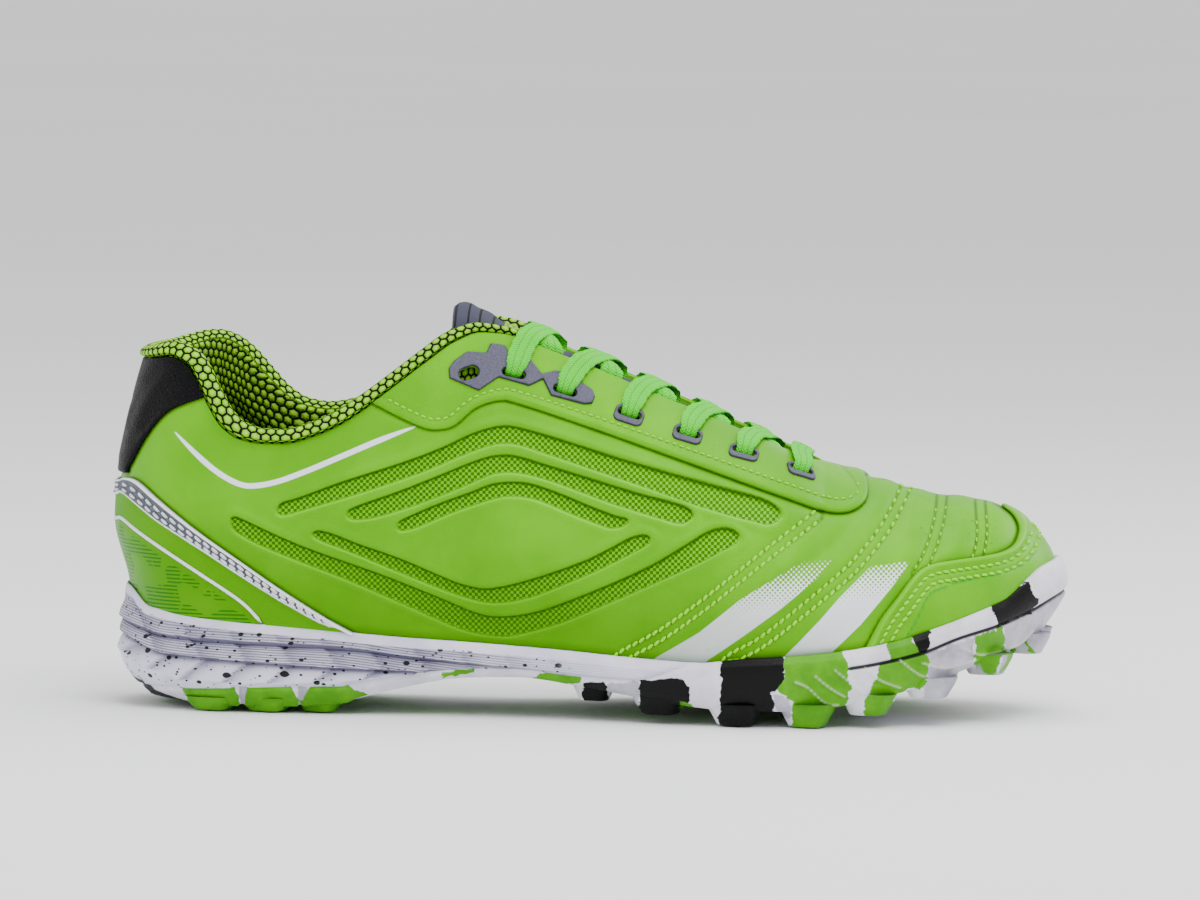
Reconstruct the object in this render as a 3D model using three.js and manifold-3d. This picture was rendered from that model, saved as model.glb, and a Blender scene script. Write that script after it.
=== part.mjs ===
// A football shoe for artificial turf, right foot, standing empty on its studs.
// Millimetres, +Z up. While it is modelled, X runs from the heel (0) to the toe and Y from the
// lateral side (negative) to the medial side (positive). The finished group is moved so that its
// origin lies on the floor under the middle of its box.
import * as THREE from "three";
import { mergeVertices } from "three/addons/utils/BufferGeometryUtils.js";
import Module from "manifold-3d";

const wasm = await Module();
wasm.setup();

// Driving dimensions
const shoeLength = 285; // heel to toe, over everything
const ballWidth = 102; // widest part of the sole
const soleHeight = 31.5; // top edge of the sole at the heel, above the floor
const instepHeight = 113; // highest point of the throat's edge, above the floor
const wall = 1.8; // upper's thickness
const gap = 0.3; // running gap between neighbouring pieces

// Sole
const soleBack = 1.5; // the upper's heel strap reaches further back than the sole by this
const heelRound = 38; // length over which the plan closes at the heel
const toeRound = 70; // length over which the plan closes at the toe
const heelFullness = 2.3; // fullness of the plan's corners at the heel
const toeFullness = 2.25; // and at the toe
const midsoleFront = 0.6263 * shoeLength; // where the midsole runs out on the side of the forefoot
const studHeight = 4.3;
const studBaseRadius = 6.2;
const studTipRadius = 4.1;
const studRoot = 1.2; // how far a stud is sunk into the tread

// Pieces on and in the upper
const overlay = 1.0; // thickness of eyestay, toe cap, counter and heel patch
const strapProud = 1.4; // thickness of the heel strap
const trim = 0.8; // thickness of the eyelet plates and loops
const tongueThick = 3.2;
const tongueGap = 0.6; // between the tongue and the upper
const tongueLift = 8; // how far the tongue's free end stands up out of the throat
const tongueBack = 0.3614 * shoeLength; // tongue's free end
const tongueFront = 0.7684 * shoeLength; // its end under the vamp
const collarFront = 0.3544 * shoeLength; // front ends of the padded collar
const collarThick = 5.2;
const collarGap = 0.5; // between the collar and the upper's wall
const collarLap = 1; // how far the collar's roll hangs over the upper's outer face
const collarRise = 3.8; // how far the collar's roll stands above the upper's edge
const insoleThick = 4;
const holeRadius = 2.1;
const holeDown = 13.5; // eyelet's distance below the throat's edge
const loopLength = 9; // little plate round each of the other eyelets
const loopHeight = 7.5;
const laceWidth = 7;
const laceThick = 1.2;
const laceGap = 0.74; // between a lace and the loops under it

// Upper
const featherInset = 3.4; // upper's lower edge lies this far inside the sole's outline
const heelZone = 60; // length of the heel over which the collar leans forward
const collarLean = 4.8; // how far the collar's back is in front of the feather edge's back
const collarRound = 28; // length over which the collar's plan closes at the back
const collarFullness = 2.2; // fullness of its corners there
const vampPoint = 0.744 * shoeLength; // front end of the throat
const throatRound = 0.049 * shoeLength; // length of the throat's rounded front end
const fanStart = 0.7 * shoeLength; // in front of this the wall's curves fan round the toe
const ridgeEnd = 0.878 * shoeLength; // centre of the toe's fan

const LATERAL = -1;
const MEDIAL = 1;

// Plan of the sole: centre line and half width, before the ends are rounded (shares of ballWidth).
const plan = [
  { at: 0.0, centre: 0.0, half: 0.355 },
  { at: 0.1, centre: 0.0, half: 0.353 },
  { at: 0.22, centre: -0.005, half: 0.353 },
  { at: 0.3, centre: -0.012, half: 0.345 },
  { at: 0.38, centre: -0.03, half: 0.333 },
  { at: 0.46, centre: -0.041, half: 0.345 },
  { at: 0.54, centre: -0.039, half: 0.392 },
  { at: 0.6, centre: -0.029, half: 0.441 },
  { at: 0.66, centre: -0.015, half: 0.48 },
  { at: 0.72, centre: 0.002, half: 0.498 },
  { at: 0.78, centre: 0.022, half: 0.493 },
  { at: 0.84, centre: 0.041, half: 0.489 },
  { at: 0.89, centre: 0.057, half: 0.474 },
  { at: 0.93, centre: 0.071, half: 0.452 },
  { at: 0.96, centre: 0.085, half: 0.42 },
  { at: 1.0, centre: 0.098, half: 0.37 },
];

// Side elevation of the sole: top edge, joint of midsole and outsole, and tread between the studs
// (shares of soleHeight).
const soleSide = [
  { at: 0.0, top: 1.0, joint: 0.13, tread: 0.1 },
  { at: 0.03, top: 0.978, joint: 0.16, tread: 0.08 },
  { at: 0.1, top: 0.892, joint: 0.21, tread: 0.066 },
  { at: 0.19, top: 0.825, joint: 0.245, tread: 0.072 },
  { at: 0.25, top: 0.783, joint: 0.26, tread: 0.11 },
  { at: 0.31, top: 0.742, joint: 0.35, tread: 0.24 },
  { at: 0.38, top: 0.71, joint: 0.43, tread: 0.36 },
  { at: 0.44, top: 0.682, joint: 0.44, tread: 0.38 },
  { at: 0.5, top: 0.65, joint: 0.4, tread: 0.32 },
  { at: 0.56, top: 0.615, joint: 0.4, tread: 0.245 },
  { at: 0.63, top: 0.592, joint: 0.6, tread: 0.165 },
  { at: 0.67, top: 0.635, joint: 0.62, tread: 0.143 },
  { at: 0.73, top: 0.675, joint: 0.7, tread: 0.15 },
  { at: 0.78, top: 0.723, joint: 0.75, tread: 0.205 },
  { at: 0.83, top: 0.81, joint: 0.85, tread: 0.3 },
  { at: 0.88, top: 0.95, joint: 1.0, tread: 0.44 },
  { at: 0.93, top: 1.115, joint: 1.2, tread: 0.61 },
  { at: 0.965, top: 1.24, joint: 1.3, tread: 0.74 },
  { at: 1.0, top: 1.38, joint: 1.4, tread: 0.93 },
];

// Bevels, bulge, ribs and rand groove of the sole's side: how far the wall lies inside the plan at each
// share of the sole's height, at the heel's back, along the heel, at the waist, forefoot and toe
// (shares of soleHeight).
const soleWall = [
  { up: 0.0, back: 0.317, heel: 0.159, waist: 0.159, fore: 0.108, toe: 0.159 },
  { up: 0.13, back: 0.165, heel: 0.083, waist: 0.102, fore: 0.051, toe: 0.083 },
  { up: 0.27, back: 0.06, heel: 0.029, waist: 0.057, fore: 0.019, toe: 0.038 },
  { up: 0.38, back: 0.041, heel: 0.041, waist: 0.038, fore: 0.006, toe: 0.019 },
  { up: 0.5, back: 0, heel: 0, waist: 0.025, fore: 0.003, toe: 0.01 },
  { up: 0.58, back: 0.032, heel: 0.029, waist: 0.029, fore: 0.029, toe: 0.035 },
  { up: 0.7, back: 0.013, heel: 0.006, waist: 0.022, fore: 0, toe: 0 },
  { up: 0.86, back: 0.057, heel: 0.044, waist: 0.035, fore: 0.01, toe: 0.006 },
  { up: 1.0, back: 0.095, heel: 0.083, waist: 0.076, fore: 0.063, toe: 0.051 },
];

// Where the columns of soleWall hold, along the shoe (shares of shoeLength).
const soleWallAt = { back: 0.02, heel: 0.16, waist: 0.42, fore: 0.68, toe: 0.96 };

// The upper's top edge: centre and half width of the opening (shares of ballWidth) and the height of
// its two sides (shares of instepHeight). In front of vampPoint it is the ridge of the vamp.
const topEdge = [
  { at: 0.034, centre: 0.0, half: 0.304, lateral: 0.91, medial: 0.91 },
  { at: 0.052, centre: 0.0, half: 0.304, lateral: 0.92, medial: 0.914 },
  { at: 0.07, centre: 0.0, half: 0.304, lateral: 0.928, medial: 0.922 },
  { at: 0.086, centre: 0.0, half: 0.304, lateral: 0.911, medial: 0.926 },
  { at: 0.0965, centre: 0.0, half: 0.304, lateral: 0.871, medial: 0.924 },
  { at: 0.105, centre: 0.0, half: 0.304, lateral: 0.826, medial: 0.917 },
  { at: 0.124, centre: 0.0, half: 0.305, lateral: 0.75, medial: 0.886 },
  { at: 0.144, centre: 0.0, half: 0.306, lateral: 0.718, medial: 0.838 },
  { at: 0.167, centre: 0.0, half: 0.308, lateral: 0.708, medial: 0.786 },
  { at: 0.191, centre: 0.0, half: 0.308, lateral: 0.709, medial: 0.755 },
  { at: 0.217, centre: 0.0, half: 0.304, lateral: 0.726, medial: 0.746 },
  { at: 0.248, centre: 0.0, half: 0.294, lateral: 0.76, medial: 0.759 },
  { at: 0.281, centre: 0.0, half: 0.278, lateral: 0.816, medial: 0.802 },
  { at: 0.31, centre: 0.0, half: 0.262, lateral: 0.872, medial: 0.859 },
  { at: 0.34, centre: 0.0, half: 0.242, lateral: 0.931, medial: 0.924 },
  { at: 0.365, centre: 0.0, half: 0.217, lateral: 0.977, medial: 0.974 },
  { at: 0.39, centre: 0.0, half: 0.188, lateral: 1.0, medial: 1.0 },
  { at: 0.411, centre: 0.0, half: 0.167, lateral: 0.996, medial: 0.998 },
  { at: 0.432, centre: 0.0, half: 0.15, lateral: 0.982, medial: 0.984 },
  { at: 0.457, centre: 0.0, half: 0.137, lateral: 0.956, medial: 0.958 },
  { at: 0.505, centre: 0.0, half: 0.127, lateral: 0.909, medial: 0.911 },
  { at: 0.568, centre: 0.004, half: 0.118, lateral: 0.842, medial: 0.844 },
  { at: 0.62, centre: 0.008, half: 0.108, lateral: 0.788, medial: 0.789 },
  { at: 0.683, centre: 0.015, half: 0.1, lateral: 0.72, medial: 0.72 },
  { at: 0.744, centre: 0.025, half: 0.09, lateral: 0.657, medial: 0.657 },
  { at: 0.79, centre: 0.038, half: 0.0, lateral: 0.63, medial: 0.63 },
  { at: 0.821, centre: 0.047, half: 0.0, lateral: 0.607, medial: 0.607 },
  { at: 0.853, centre: 0.056, half: 0.0, lateral: 0.586, medial: 0.586 },
  { at: 0.878, centre: 0.063, half: 0.0, lateral: 0.574, medial: 0.574 },
];

// Curve of the wall between feather edge and top edge: the two handles of a cubic arc. rise and drop
// are shares of the wall's height; belly and shoulder stand out from the edges (shares of ballWidth).
const wallCurve = [
  { at: 0.0, rise: 0.33, belly: 0.082, drop: 0.25, shoulder: 0.056 },
  { at: 0.08, rise: 0.33, belly: 0.06, drop: 0.25, shoulder: 0.045 },
  { at: 0.2, rise: 0.34, belly: 0.046, drop: 0.28, shoulder: 0.035 },
  { at: 0.32, rise: 0.32, belly: 0.036, drop: 0.28, shoulder: 0.075 },
  { at: 0.42, rise: 0.3, belly: 0.034, drop: 0.24, shoulder: 0.14 },
  { at: 0.52, rise: 0.3, belly: 0.04, drop: 0.18, shoulder: 0.17 },
  { at: 0.64, rise: 0.34, belly: 0.05, drop: 0.1, shoulder: 0.2 },
  { at: 0.74, rise: 0.36, belly: 0.052, drop: 0.0, shoulder: 0.22 },
  { at: 0.86, rise: 0.4, belly: 0.036, drop: 0.0, shoulder: 0.21 },
  { at: 0.96, rise: 0.44, belly: 0.02, drop: 0.0, shoulder: 0.18 },
  { at: 1.0, rise: 0.46, belly: 0.016, drop: 0.0, shoulder: 0.176 },
];

// Rows of studs: place along the shoe, number across, share of the sole's width that they span, size
// against the full stud, and whether they stand on the floor.
const studRows = [
  { at: 0.116, count: 4, span: 0.78, size: 1.0, stands: true },
  { at: 0.174, count: 4, span: 0.8, size: 1.0, stands: true },
  { at: 0.229, count: 3, span: 0.76, size: 0.9, stands: true },
  { at: 0.517, count: 3, span: 0.66, size: 0.8, stands: false },
  { at: 0.588, count: 4, span: 0.8, size: 1.0, stands: false },
  { at: 0.668, count: 5, span: 0.86, size: 1.0, stands: true },
  { at: 0.742, count: 5, span: 0.88, size: 1.0, stands: true },
  { at: 0.804, count: 4, span: 0.86, size: 1.0, stands: false },
  { at: 0.866, count: 4, span: 0.84, size: 1.0, stands: false },
  { at: 0.924, count: 3, span: 0.76, size: 0.95, stands: false },
  { at: 0.964, count: 2, span: 0.4, size: 0.85, stands: false },
];

// Edges of the overlays in side elevation (shares of shoeLength and instepHeight).
const strapEdge = [
  { at: -0.03, up: 0.585 },
  { at: 0.008, up: 0.59 },
  { at: 0.0215, up: 0.602 },
  { at: 0.0365, up: 0.596 },
  { at: 0.06, up: 0.554 },
  { at: 0.104, up: 0.473 },
  { at: 0.147, up: 0.4 },
  { at: 0.188, up: 0.33 },
  { at: 0.23, up: 0.264 },
  { at: 0.256, up: 0.227 },
  { at: 0.31, up: 0.16 },
];
const counterEdge = [
  { at: -0.03, up: 0.482 },
  { at: 0.006, up: 0.4885 },
  { at: 0.018, up: 0.4955 },
  { at: 0.037, up: 0.469 },
  { at: 0.06, up: 0.4345 },
  { at: 0.1035, up: 0.368 },
  { at: 0.147, up: 0.2965 },
  { at: 0.1695, up: 0.24 },
  { at: 0.2, up: 0.16 },
  { at: 0.35, up: 0.04 },
];
const patchEdge = [
  { at: -0.03, up: 0.604 },
  { at: 0.0168, up: 0.613 },
  { at: 0.0235, up: 0.632 },
  { at: 0.041, up: 0.708 },
  { at: 0.058, up: 0.764 },
  { at: 0.0744, up: 0.7965 },
  { at: 0.104, up: 0.8257 },
  { at: 0.15, up: 0.86 },
];
const eyestayEdge = [
  { at: 0.24, up: 0.86 },
  { at: 0.2815, up: 0.817 },
  { at: 0.3105, up: 0.782 },
  { at: 0.337, up: 0.756 },
  { at: 0.3526, up: 0.753 },
  { at: 0.3684, up: 0.7646 },
  { at: 0.389, up: 0.809 },
  { at: 0.4133, up: 0.828 },
  { at: 0.4347, up: 0.8186 },
  { at: 0.519, up: 0.751 },
  { at: 0.624, up: 0.663 },
  { at: 0.709, up: 0.591 },
  { at: 0.75, up: 0.554 },
  { at: 0.77, up: 0.546 },
  { at: 0.7846, up: 0.553 },
  { at: 0.7944, up: 0.5717 },
  { at: 0.7965, up: 0.5947 },
  { at: 0.793, up: 0.68 },
];
const toeCapEdge = [
  { at: 0.785, up: 0.13 },
  { at: 0.8025, up: 0.217 },
  { at: 0.8158, up: 0.2814 },
  { at: 0.831, up: 0.3336 },
  { at: 0.8505, up: 0.3956 },
  { at: 0.8656, up: 0.4168 },
  { at: 0.886, up: 0.4257 },
  { at: 0.9165, up: 0.4354 },
  { at: 0.9365, up: 0.4442 },
  { at: 0.9484, up: 0.4593 },
  { at: 0.9537, up: 0.4858 },
  { at: 0.951, up: 0.509 },
  { at: 0.9316, up: 0.5336 },
  { at: 0.92, up: 0.6 },
];

// Outline of the eyelet plate: place along the shoe (share of shoeLength) and distance below the
// throat's edge (share of holeDown).
const plateOutline = [
  { at: 0.3593, down: 0.508 },
  { at: 0.3607, down: 0.735 },
  { at: 0.3909, down: 1.244 },
  { at: 0.4105, down: 0.931 },
  { at: 0.4421, down: 0.923 },
  { at: 0.4561, down: 0.661 },
  { at: 0.4653, down: 0.926 },
  { at: 0.5, down: 0.836 },
  { at: 0.5084, down: 0.749 },
  { at: 0.5109, down: 0.581 },
  { at: 0.5081, down: 0.471 },
  { at: 0.4842, down: 0.350 },
  { at: 0.4761, down: 0.341 },
  { at: 0.4681, down: 0.384 },
  { at: 0.4547, down: 0.555 },
  { at: 0.4414, down: 0.367 },
  { at: 0.4211, down: 0.433 },
  { at: 0.4151, down: 0.241 },
  { at: 0.4004, down: 0.227 },
  { at: 0.3965, down: 0.433 },
  { at: 0.3772, down: 0.341 },
  { at: 0.3642, down: 0.414 },
];

// Eyelets along the throat (shares of shoeLength). The first has no lace in it.
const holes = [
  { at: 0.381, laced: false, plate: true },
  { at: 0.4275, laced: true, plate: true },
  { at: 0.483, laced: true, plate: true },
  { at: 0.5525, laced: true, plate: false },
  { at: 0.613, laced: true, plate: false },
  { at: 0.669, laced: true, plate: false },
  { at: 0.722, laced: true, plate: false },
];

const curveCount = 7; // rows of the upper's wall between its two edges

// Section of the padded collar: place on the wall (v), rise above its edge and depth inside it. The
// other points can all be seen from the first, where the caps of its two ends fan out.
const collarSection = [
  { v: 1, rise: 0.7 * collarRise, depth: 0.8 * collarThick },
  { v: 1, rise: 0, depth: collarThick },
  { v: 1 - 1 / curveCount, rise: 0, depth: collarThick },
  { v: 1 - 2 / curveCount, rise: 0, depth: 0.4 * collarThick },
  { v: 1 - 2 / curveCount, rise: 0, depth: 0 },
  { v: 1 - 1 / curveCount, rise: 0, depth: 0 },
  { v: 1, rise: 0, depth: 0 },
  { v: 1, rise: 2 * gap, depth: wall },
  { v: 1, rise: 2 * gap, depth: -collarLap },
  { v: 1, rise: 0.45 * collarRise, depth: -1.3 * collarLap },
  { v: 1, rise: collarRise, depth: 0.3 * collarThick },
];

// A smooth curve through one column of a table that never overshoots its rows.
function column(table, name, key = "at") {
  const x = table.map((row) => row[key]);
  const y = table.map((row) => row[name]);
  const last = x.length - 1;
  const chord = y.slice(1).map((v, i) => (v - y[i]) / (x[i + 1] - x[i]));
  const slope = y.map((v, i) => {
    if (i === 0) return chord[0];
    if (i === last) return chord[last - 1];
    const [a, b] = [chord[i - 1], chord[i]];
    return a * b <= 0 ? 0 : (2 * a * b) / (a + b);
  });
  return (at) => {
    const q = Math.min(Math.max(at, x[0]), x[last]);
    let i = x.findIndex((v) => v >= q) - 1;
    i = Math.max(i, 0);
    const h = x[i + 1] - x[i];
    const t = (q - x[i]) / h;
    const [t2, t3] = [t * t, t * t * t];
    return (
      y[i] * (2 * t3 - 3 * t2 + 1) +
      y[i + 1] * (3 * t2 - 2 * t3) +
      h * slope[i] * (t3 - 2 * t2 + t) +
      h * slope[i + 1] * (t3 - t2)
    );
  };
}

const planCentre = column(plan, "centre");
const planHalf = column(plan, "half");
const soleTopShare = column(soleSide, "top");
const soleJointShare = column(soleSide, "joint");
const soleTreadShare = column(soleSide, "tread");
const openingCentre = column(topEdge, "centre");
const openingHalf = column(topEdge, "half");
const edgeHeight = {
  [LATERAL]: column(topEdge, "lateral"),
  [MEDIAL]: column(topEdge, "medial"),
};
const handle = Object.fromEntries(
  ["rise", "belly", "drop", "shoulder"].map((name) => [name, column(wallCurve, name)]),
);

const soleTop = (x) => soleTopShare(x / shoeLength) * soleHeight;
const seat = (x, lift) => soleTop(x) + lift * Math.hypot(1, (soleTop(x + 1) - soleTop(x - 1)) / 2);
const soleJoint = (x) => soleJointShare(x / shoeLength) * soleHeight;
const soleTread = (x) => soleTreadShare(x / shoeLength) * soleHeight;

// 0 at an end, 1 from q = 1 on, along a rounded corner of the given fullness.
function roundEnd(q, fullness) {
  const t = Math.min(Math.max(1 - q, 0), 1);
  return Math.pow(1 - Math.pow(t, fullness), 1 / fullness);
}

// Share of the half width that the rounded ends of the plan leave at x.
const endShare = (x, back, front) =>
  roundEnd((x - back) / heelRound, heelFullness) * roundEnd((front - x) / toeRound, toeFullness);

// Point of the plan's outline, u from 0 at the heel's back to 1 at the toe's tip.
function planPoint(u, side, inset) {
  const back = soleBack + inset;
  const front = shoeLength - inset;
  const x = back + ((front - back) * (1 - Math.cos(Math.PI * u))) / 2;
  const half = planHalf(x / shoeLength) * ballWidth - inset;
  const y = planCentre(x / shoeLength) * ballWidth + side * half * endShare(x, back, front);
  return new THREE.Vector2(x, y);
}

// Outward direction of the outline there.
function planNormal(u, side, inset) {
  const step = 1e-3;
  if (u < step) return new THREE.Vector2(-1, 0);
  if (u > 1 - step) return new THREE.Vector2(1, 0);
  const along = planPoint(u + step, side, inset).sub(planPoint(u - step, side, inset)).normalize();
  return new THREE.Vector2(-along.y * side, along.x * side);
}

// Top edge's X for a point of the feather edge.
function topX(x) {
  const back = soleBack + featherInset;
  const front = shoeLength - featherInset;
  if (x < heelZone) return x + collarLean * Math.pow(1 - (x - back) / (heelZone - back), 2);
  if (x <= fanStart) return x;
  const turn = (Math.PI / 2) * ((x - fanStart) / (front - fanStart));
  return THREE.MathUtils.lerp(fanStart, ridgeEnd, Math.sin(turn));
}

function topPoint(u, side) {
  const x = topX(planPoint(u, side, featherInset).x);
  const share = x / shoeLength;
  const backEnd = soleBack + featherInset + collarLean;
  const slot = x >= vampPoint ? 0 : roundEnd((vampPoint - x) / throatRound, 2);
  const closed = roundEnd((x - backEnd) / collarRound, collarFullness);
  const half = openingHalf(share) * ballWidth * closed * slot;
  const z = edgeHeight[side](share) * instepHeight;
  return new THREE.Vector3(x, openingCentre(share) * ballWidth + side * half, z);
}

// The upper's outer surface: u along the shoe, v from the feather edge (0) to the top edge (1).
function upperPoint(u, v, side) {
  const foot = planPoint(u, side, featherInset);
  const out = planNormal(u, side, featherInset);
  const share = foot.x / shoeLength;
  const start = new THREE.Vector3(foot.x, foot.y, soleTop(foot.x));
  const end = topPoint(u, side);
  const height = end.z - start.z;
  const belly = handle.belly(share) * ballWidth;
  const shoulder = handle.shoulder(share) * ballWidth;
  const heightAt = (x) => edgeHeight[side](x / shoeLength) * instepHeight;
  const ridgeSlope = heightAt(end.x) - heightAt(end.x - 1);
  const closed = THREE.MathUtils.smoothstep(end.x, vampPoint - throatRound, vampPoint);
  const lean = closed * ridgeSlope * out.x * shoulder - handle.drop(share) * height;
  const rise = handle.rise(share) * height;
  const first = start.clone().add(new THREE.Vector3(out.x * belly, out.y * belly, rise));
  const second = end.clone().add(new THREE.Vector3(out.x * shoulder, out.y * shoulder, lean));
  return new THREE.CubicBezierCurve3(start, first, second, end).getPoint(v);
}

// Point, upward direction along the wall and outward normal of the upper at (u, v).
function upperFrame(u, v, side) {
  const step = 1e-3;
  const point = upperPoint(u, v, side);
  const up = upperPoint(u, v, side).sub(upperPoint(u, v - step, side)).normalize();
  const ahead = upperPoint(Math.min(u + step, 1), v, side);
  const along = ahead.sub(upperPoint(Math.max(u - step, 0), v, side)).normalize();
  const normal = new THREE.Vector3().crossVectors(along, up).multiplyScalar(-side).normalize();
  return { point, up, along, normal };
}

// Flat outlines
const sideShape = (rows) => rows.map(({ at, up }) => new THREE.Vector2(at * shoeLength, up * instepHeight));
const smoothLine = (rows, count) => new THREE.SplineCurve(sideShape(rows)).getPoints(count);

// Line moved sideways to its left, looking along it.
function shifted(line, distance) {
  return line.map((p, i) => {
    const d = line[Math.min(i + 1, line.length - 1)].clone().sub(line[Math.max(i - 1, 0)]).normalize();
    return new THREE.Vector2(p.x - d.y * distance, p.y + d.x * distance);
  });
}

// Solids
function geometryOf(positions, indices) {
  const geometry = new THREE.BufferGeometry();
  geometry.setAttribute("position", new THREE.Float32BufferAttribute(positions, 3));
  geometry.setIndex(indices);
  return geometry;
}

// Coinciding vertices merged and collapsed triangles dropped.
function cleaned(geometry) {
  const positions = Array.from(geometry.getAttribute("position").array);
  const bare = geometryOf(positions, geometry.index && [...geometry.index.array]);
  const merged = mergeVertices(bare, 1e-3);
  const index = merged.index.array;
  const kept = [];
  for (let i = 0; i < index.length; i += 3) {
    const [a, b, c] = [index[i], index[i + 1], index[i + 2]];
    if (a !== b && b !== c && a !== c) kept.push(a, b, c);
  }
  merged.setIndex(kept);
  return merged;
}

function solidOf(geometry) {
  const tidy = cleaned(geometry);
  return new wasm.Manifold(
    new wasm.Mesh({
      numProp: 3,
      vertProperties: new Float32Array(tidy.getAttribute("position").array),
      triVerts: new Uint32Array(tidy.index.array),
    }),
  );
}

function meshOf(name, solid, material) {
  const made = solid.getMesh();
  const n = made.numProp;
  const positions = [];
  for (let i = 0; i < made.numVert; i++) positions.push(...made.vertProperties.slice(i * n, i * n + 3));
  const mesh = new THREE.Mesh(geometryOf(positions, Array.from(made.triVerts)), material);
  mesh.name = name;
  return mesh;
}

// Solid of a side outline, reaching across the whole shoe or over one side of it.
function prism(line, side = 0) {
  const depth = side === 0 ? 2 * ballWidth : ballWidth;
  const solid = new THREE.ExtrudeGeometry(new THREE.Shape(line), { depth, bevelEnabled: false });
  solid.rotateX(Math.PI / 2);
  solid.translate(0, side === LATERAL ? 0 : ballWidth, 0);
  return solidOf(solid);
}

// Everything above, or below, an edge line that runs from the heel towards the toe.
function above(line) {
  const [first, last] = [line[0], line[line.length - 1]];
  const roof = 2 * instepHeight;
  return prism([...line, new THREE.Vector2(last.x, roof), new THREE.Vector2(first.x, roof)]);
}

function below(line) {
  const [first, last] = [line[0], line[line.length - 1]];
  const base = -instepHeight;
  return prism([new THREE.Vector2(first.x, base), new THREE.Vector2(last.x, base), ...[...line].reverse()]);
}

// Closed solid through rings of equal length, capped at both ends.
function loft(rings) {
  const n = rings[0].length;
  const positions = rings.flat().flatMap((p) => p.toArray());
  const indices = [];
  for (let i = 0; i + 1 < rings.length; i++)
    for (let j = 0; j < n; j++) {
      const [a, b] = [i * n + j, i * n + ((j + 1) % n)];
      indices.push(a, b, b + n, a, b + n, a + n);
    }
  const lastRing = (rings.length - 1) * n;
  for (let j = 1; j + 1 < n; j++) indices.push(0, j + 1, j, lastRing, lastRing + j, lastRing + j + 1);
  const solid = solidOf(geometryOf(positions, indices));
  return solid.volume() > 0 ? solid : solidOf(geometryOf(positions, [...indices].reverse()));
}

// Grid of points on both sides of the shoe as one surface with smooth normals; rows run from the
// lateral to the medial side or from bottom to top.
function gridSurface(rows) {
  const width = rows[0].length;
  const indices = [];
  for (let i = 0; i + 1 < rows.length; i++)
    for (let j = 0; j + 1 < width; j++) {
      const [a, b] = [i * width + j, i * width + j + 1];
      indices.push(a, b, b + width, a, b + width, a + width);
    }
  const surface = cleaned(geometryOf(rows.flat().flatMap((p) => p.toArray()), indices));
  surface.computeVertexNormals();
  return surface;
}

// The solid between two offsets of an open surface, closed along the surface's free edges.
function between(surface, inner, outer) {
  const place = surface.getAttribute("position");
  const normal = surface.getAttribute("normal");
  const index = Array.from(surface.index.array);
  const count = place.count;
  const positions = [];
  for (const offset of [outer, inner])
    for (let i = 0; i < count; i++) {
      const p = new THREE.Vector3().fromBufferAttribute(place, i);
      const n = new THREE.Vector3().fromBufferAttribute(normal, i);
      positions.push(...p.addScaledVector(n, offset).toArray());
    }
  const indices = [...index];
  const edges = new Set();
  for (let i = 0; i < index.length; i += 3) {
    const [a, b, c] = [index[i], index[i + 1], index[i + 2]];
    indices.push(count + a, count + c, count + b);
    edges.add(a + "," + b).add(b + "," + c).add(c + "," + a);
  }
  for (const edge of edges) {
    const [p, q] = edge.split(",").map(Number);
    if (!edges.has(q + "," + p)) indices.push(q, p, count + p, q, count + p, count + q);
  }
  return solidOf(geometryOf(positions, indices));
}

// Stations along the upper; the throat's round end gets stations of its own.
const stationCount = 24;
const edgeStations = [0.08, 0.1065, 0.14, 0.392]; // more at the collar's drop and the throat's peak
const feather = { back: soleBack + featherInset, front: shoeLength - featherInset };
const stationOf = (footX) =>
  Math.acos(1 - (2 * (footX - feather.back)) / (feather.front - feather.back)) / Math.PI;
function stationUnder(edgeX) {
  if (edgeX <= fanStart) return stationOf(edgeX);
  const turn = Math.asin((edgeX - fanStart) / (ridgeEnd - fanStart)) / (Math.PI / 2);
  return stationOf(fanStart + turn * (feather.front - fanStart));
}
const stations = [
  ...Array.from({ length: stationCount + 1 }, (_, i) => i / stationCount),
  ...[0.35, 0.7, 1].map((q) => stationUnder(vampPoint - throatRound * (1 - q))),
  ...edgeStations.map((share) => stationUnder(share * shoeLength)),
  stationUnder(collarFront),
  stationUnder(tongueBack),
  stationUnder(tongueFront),
]
  .sort((a, b) => a - b)
  .filter((u, i, all) => i === 0 || u - all[i - 1] > 3e-3);
const edgeX = (u) => topX(planPoint(u, LATERAL, featherInset).x);

// The upper's outer surface, round the shoe from the toe over the lateral side, the heel and the
// medial side back to the toe.
const heights = Array.from({ length: curveCount + 1 }, (_, j) => j / curveCount);
const wallRows = (side) => stations.map((u) => heights.map((v) => upperPoint(u, v, side)));
const surface = gridSurface([...wallRows(LATERAL).reverse(), ...wallRows(MEDIAL).slice(1)]);

// Throat
const archTension = 0.2; // handle of the arch over the throat, as a share of its span

// Arch over the throat between the two edges, t from the lateral (0) to the medial side (1).
function archPoint(u, t, offset) {
  const [from, to] = [upperFrame(u, 1, LATERAL), upperFrame(u, 1, MEDIAL)];
  for (const end of [from, to]) end.point.addScaledVector(end.normal, offset);
  const reach = archTension * from.point.distanceTo(to.point);
  const first = from.point.clone().addScaledVector(from.up, reach);
  const second = to.point.clone().addScaledVector(to.up, reach);
  return new THREE.CubicBezierCurve3(from.point, first, second, to.point).getPoint(t);
}

function wallLength(u, side) {
  const points = heights.map((v) => upperPoint(u, v, side));
  return points.slice(1).reduce((sum, p, i) => sum + p.distanceTo(points[i]), 0);
}

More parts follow.
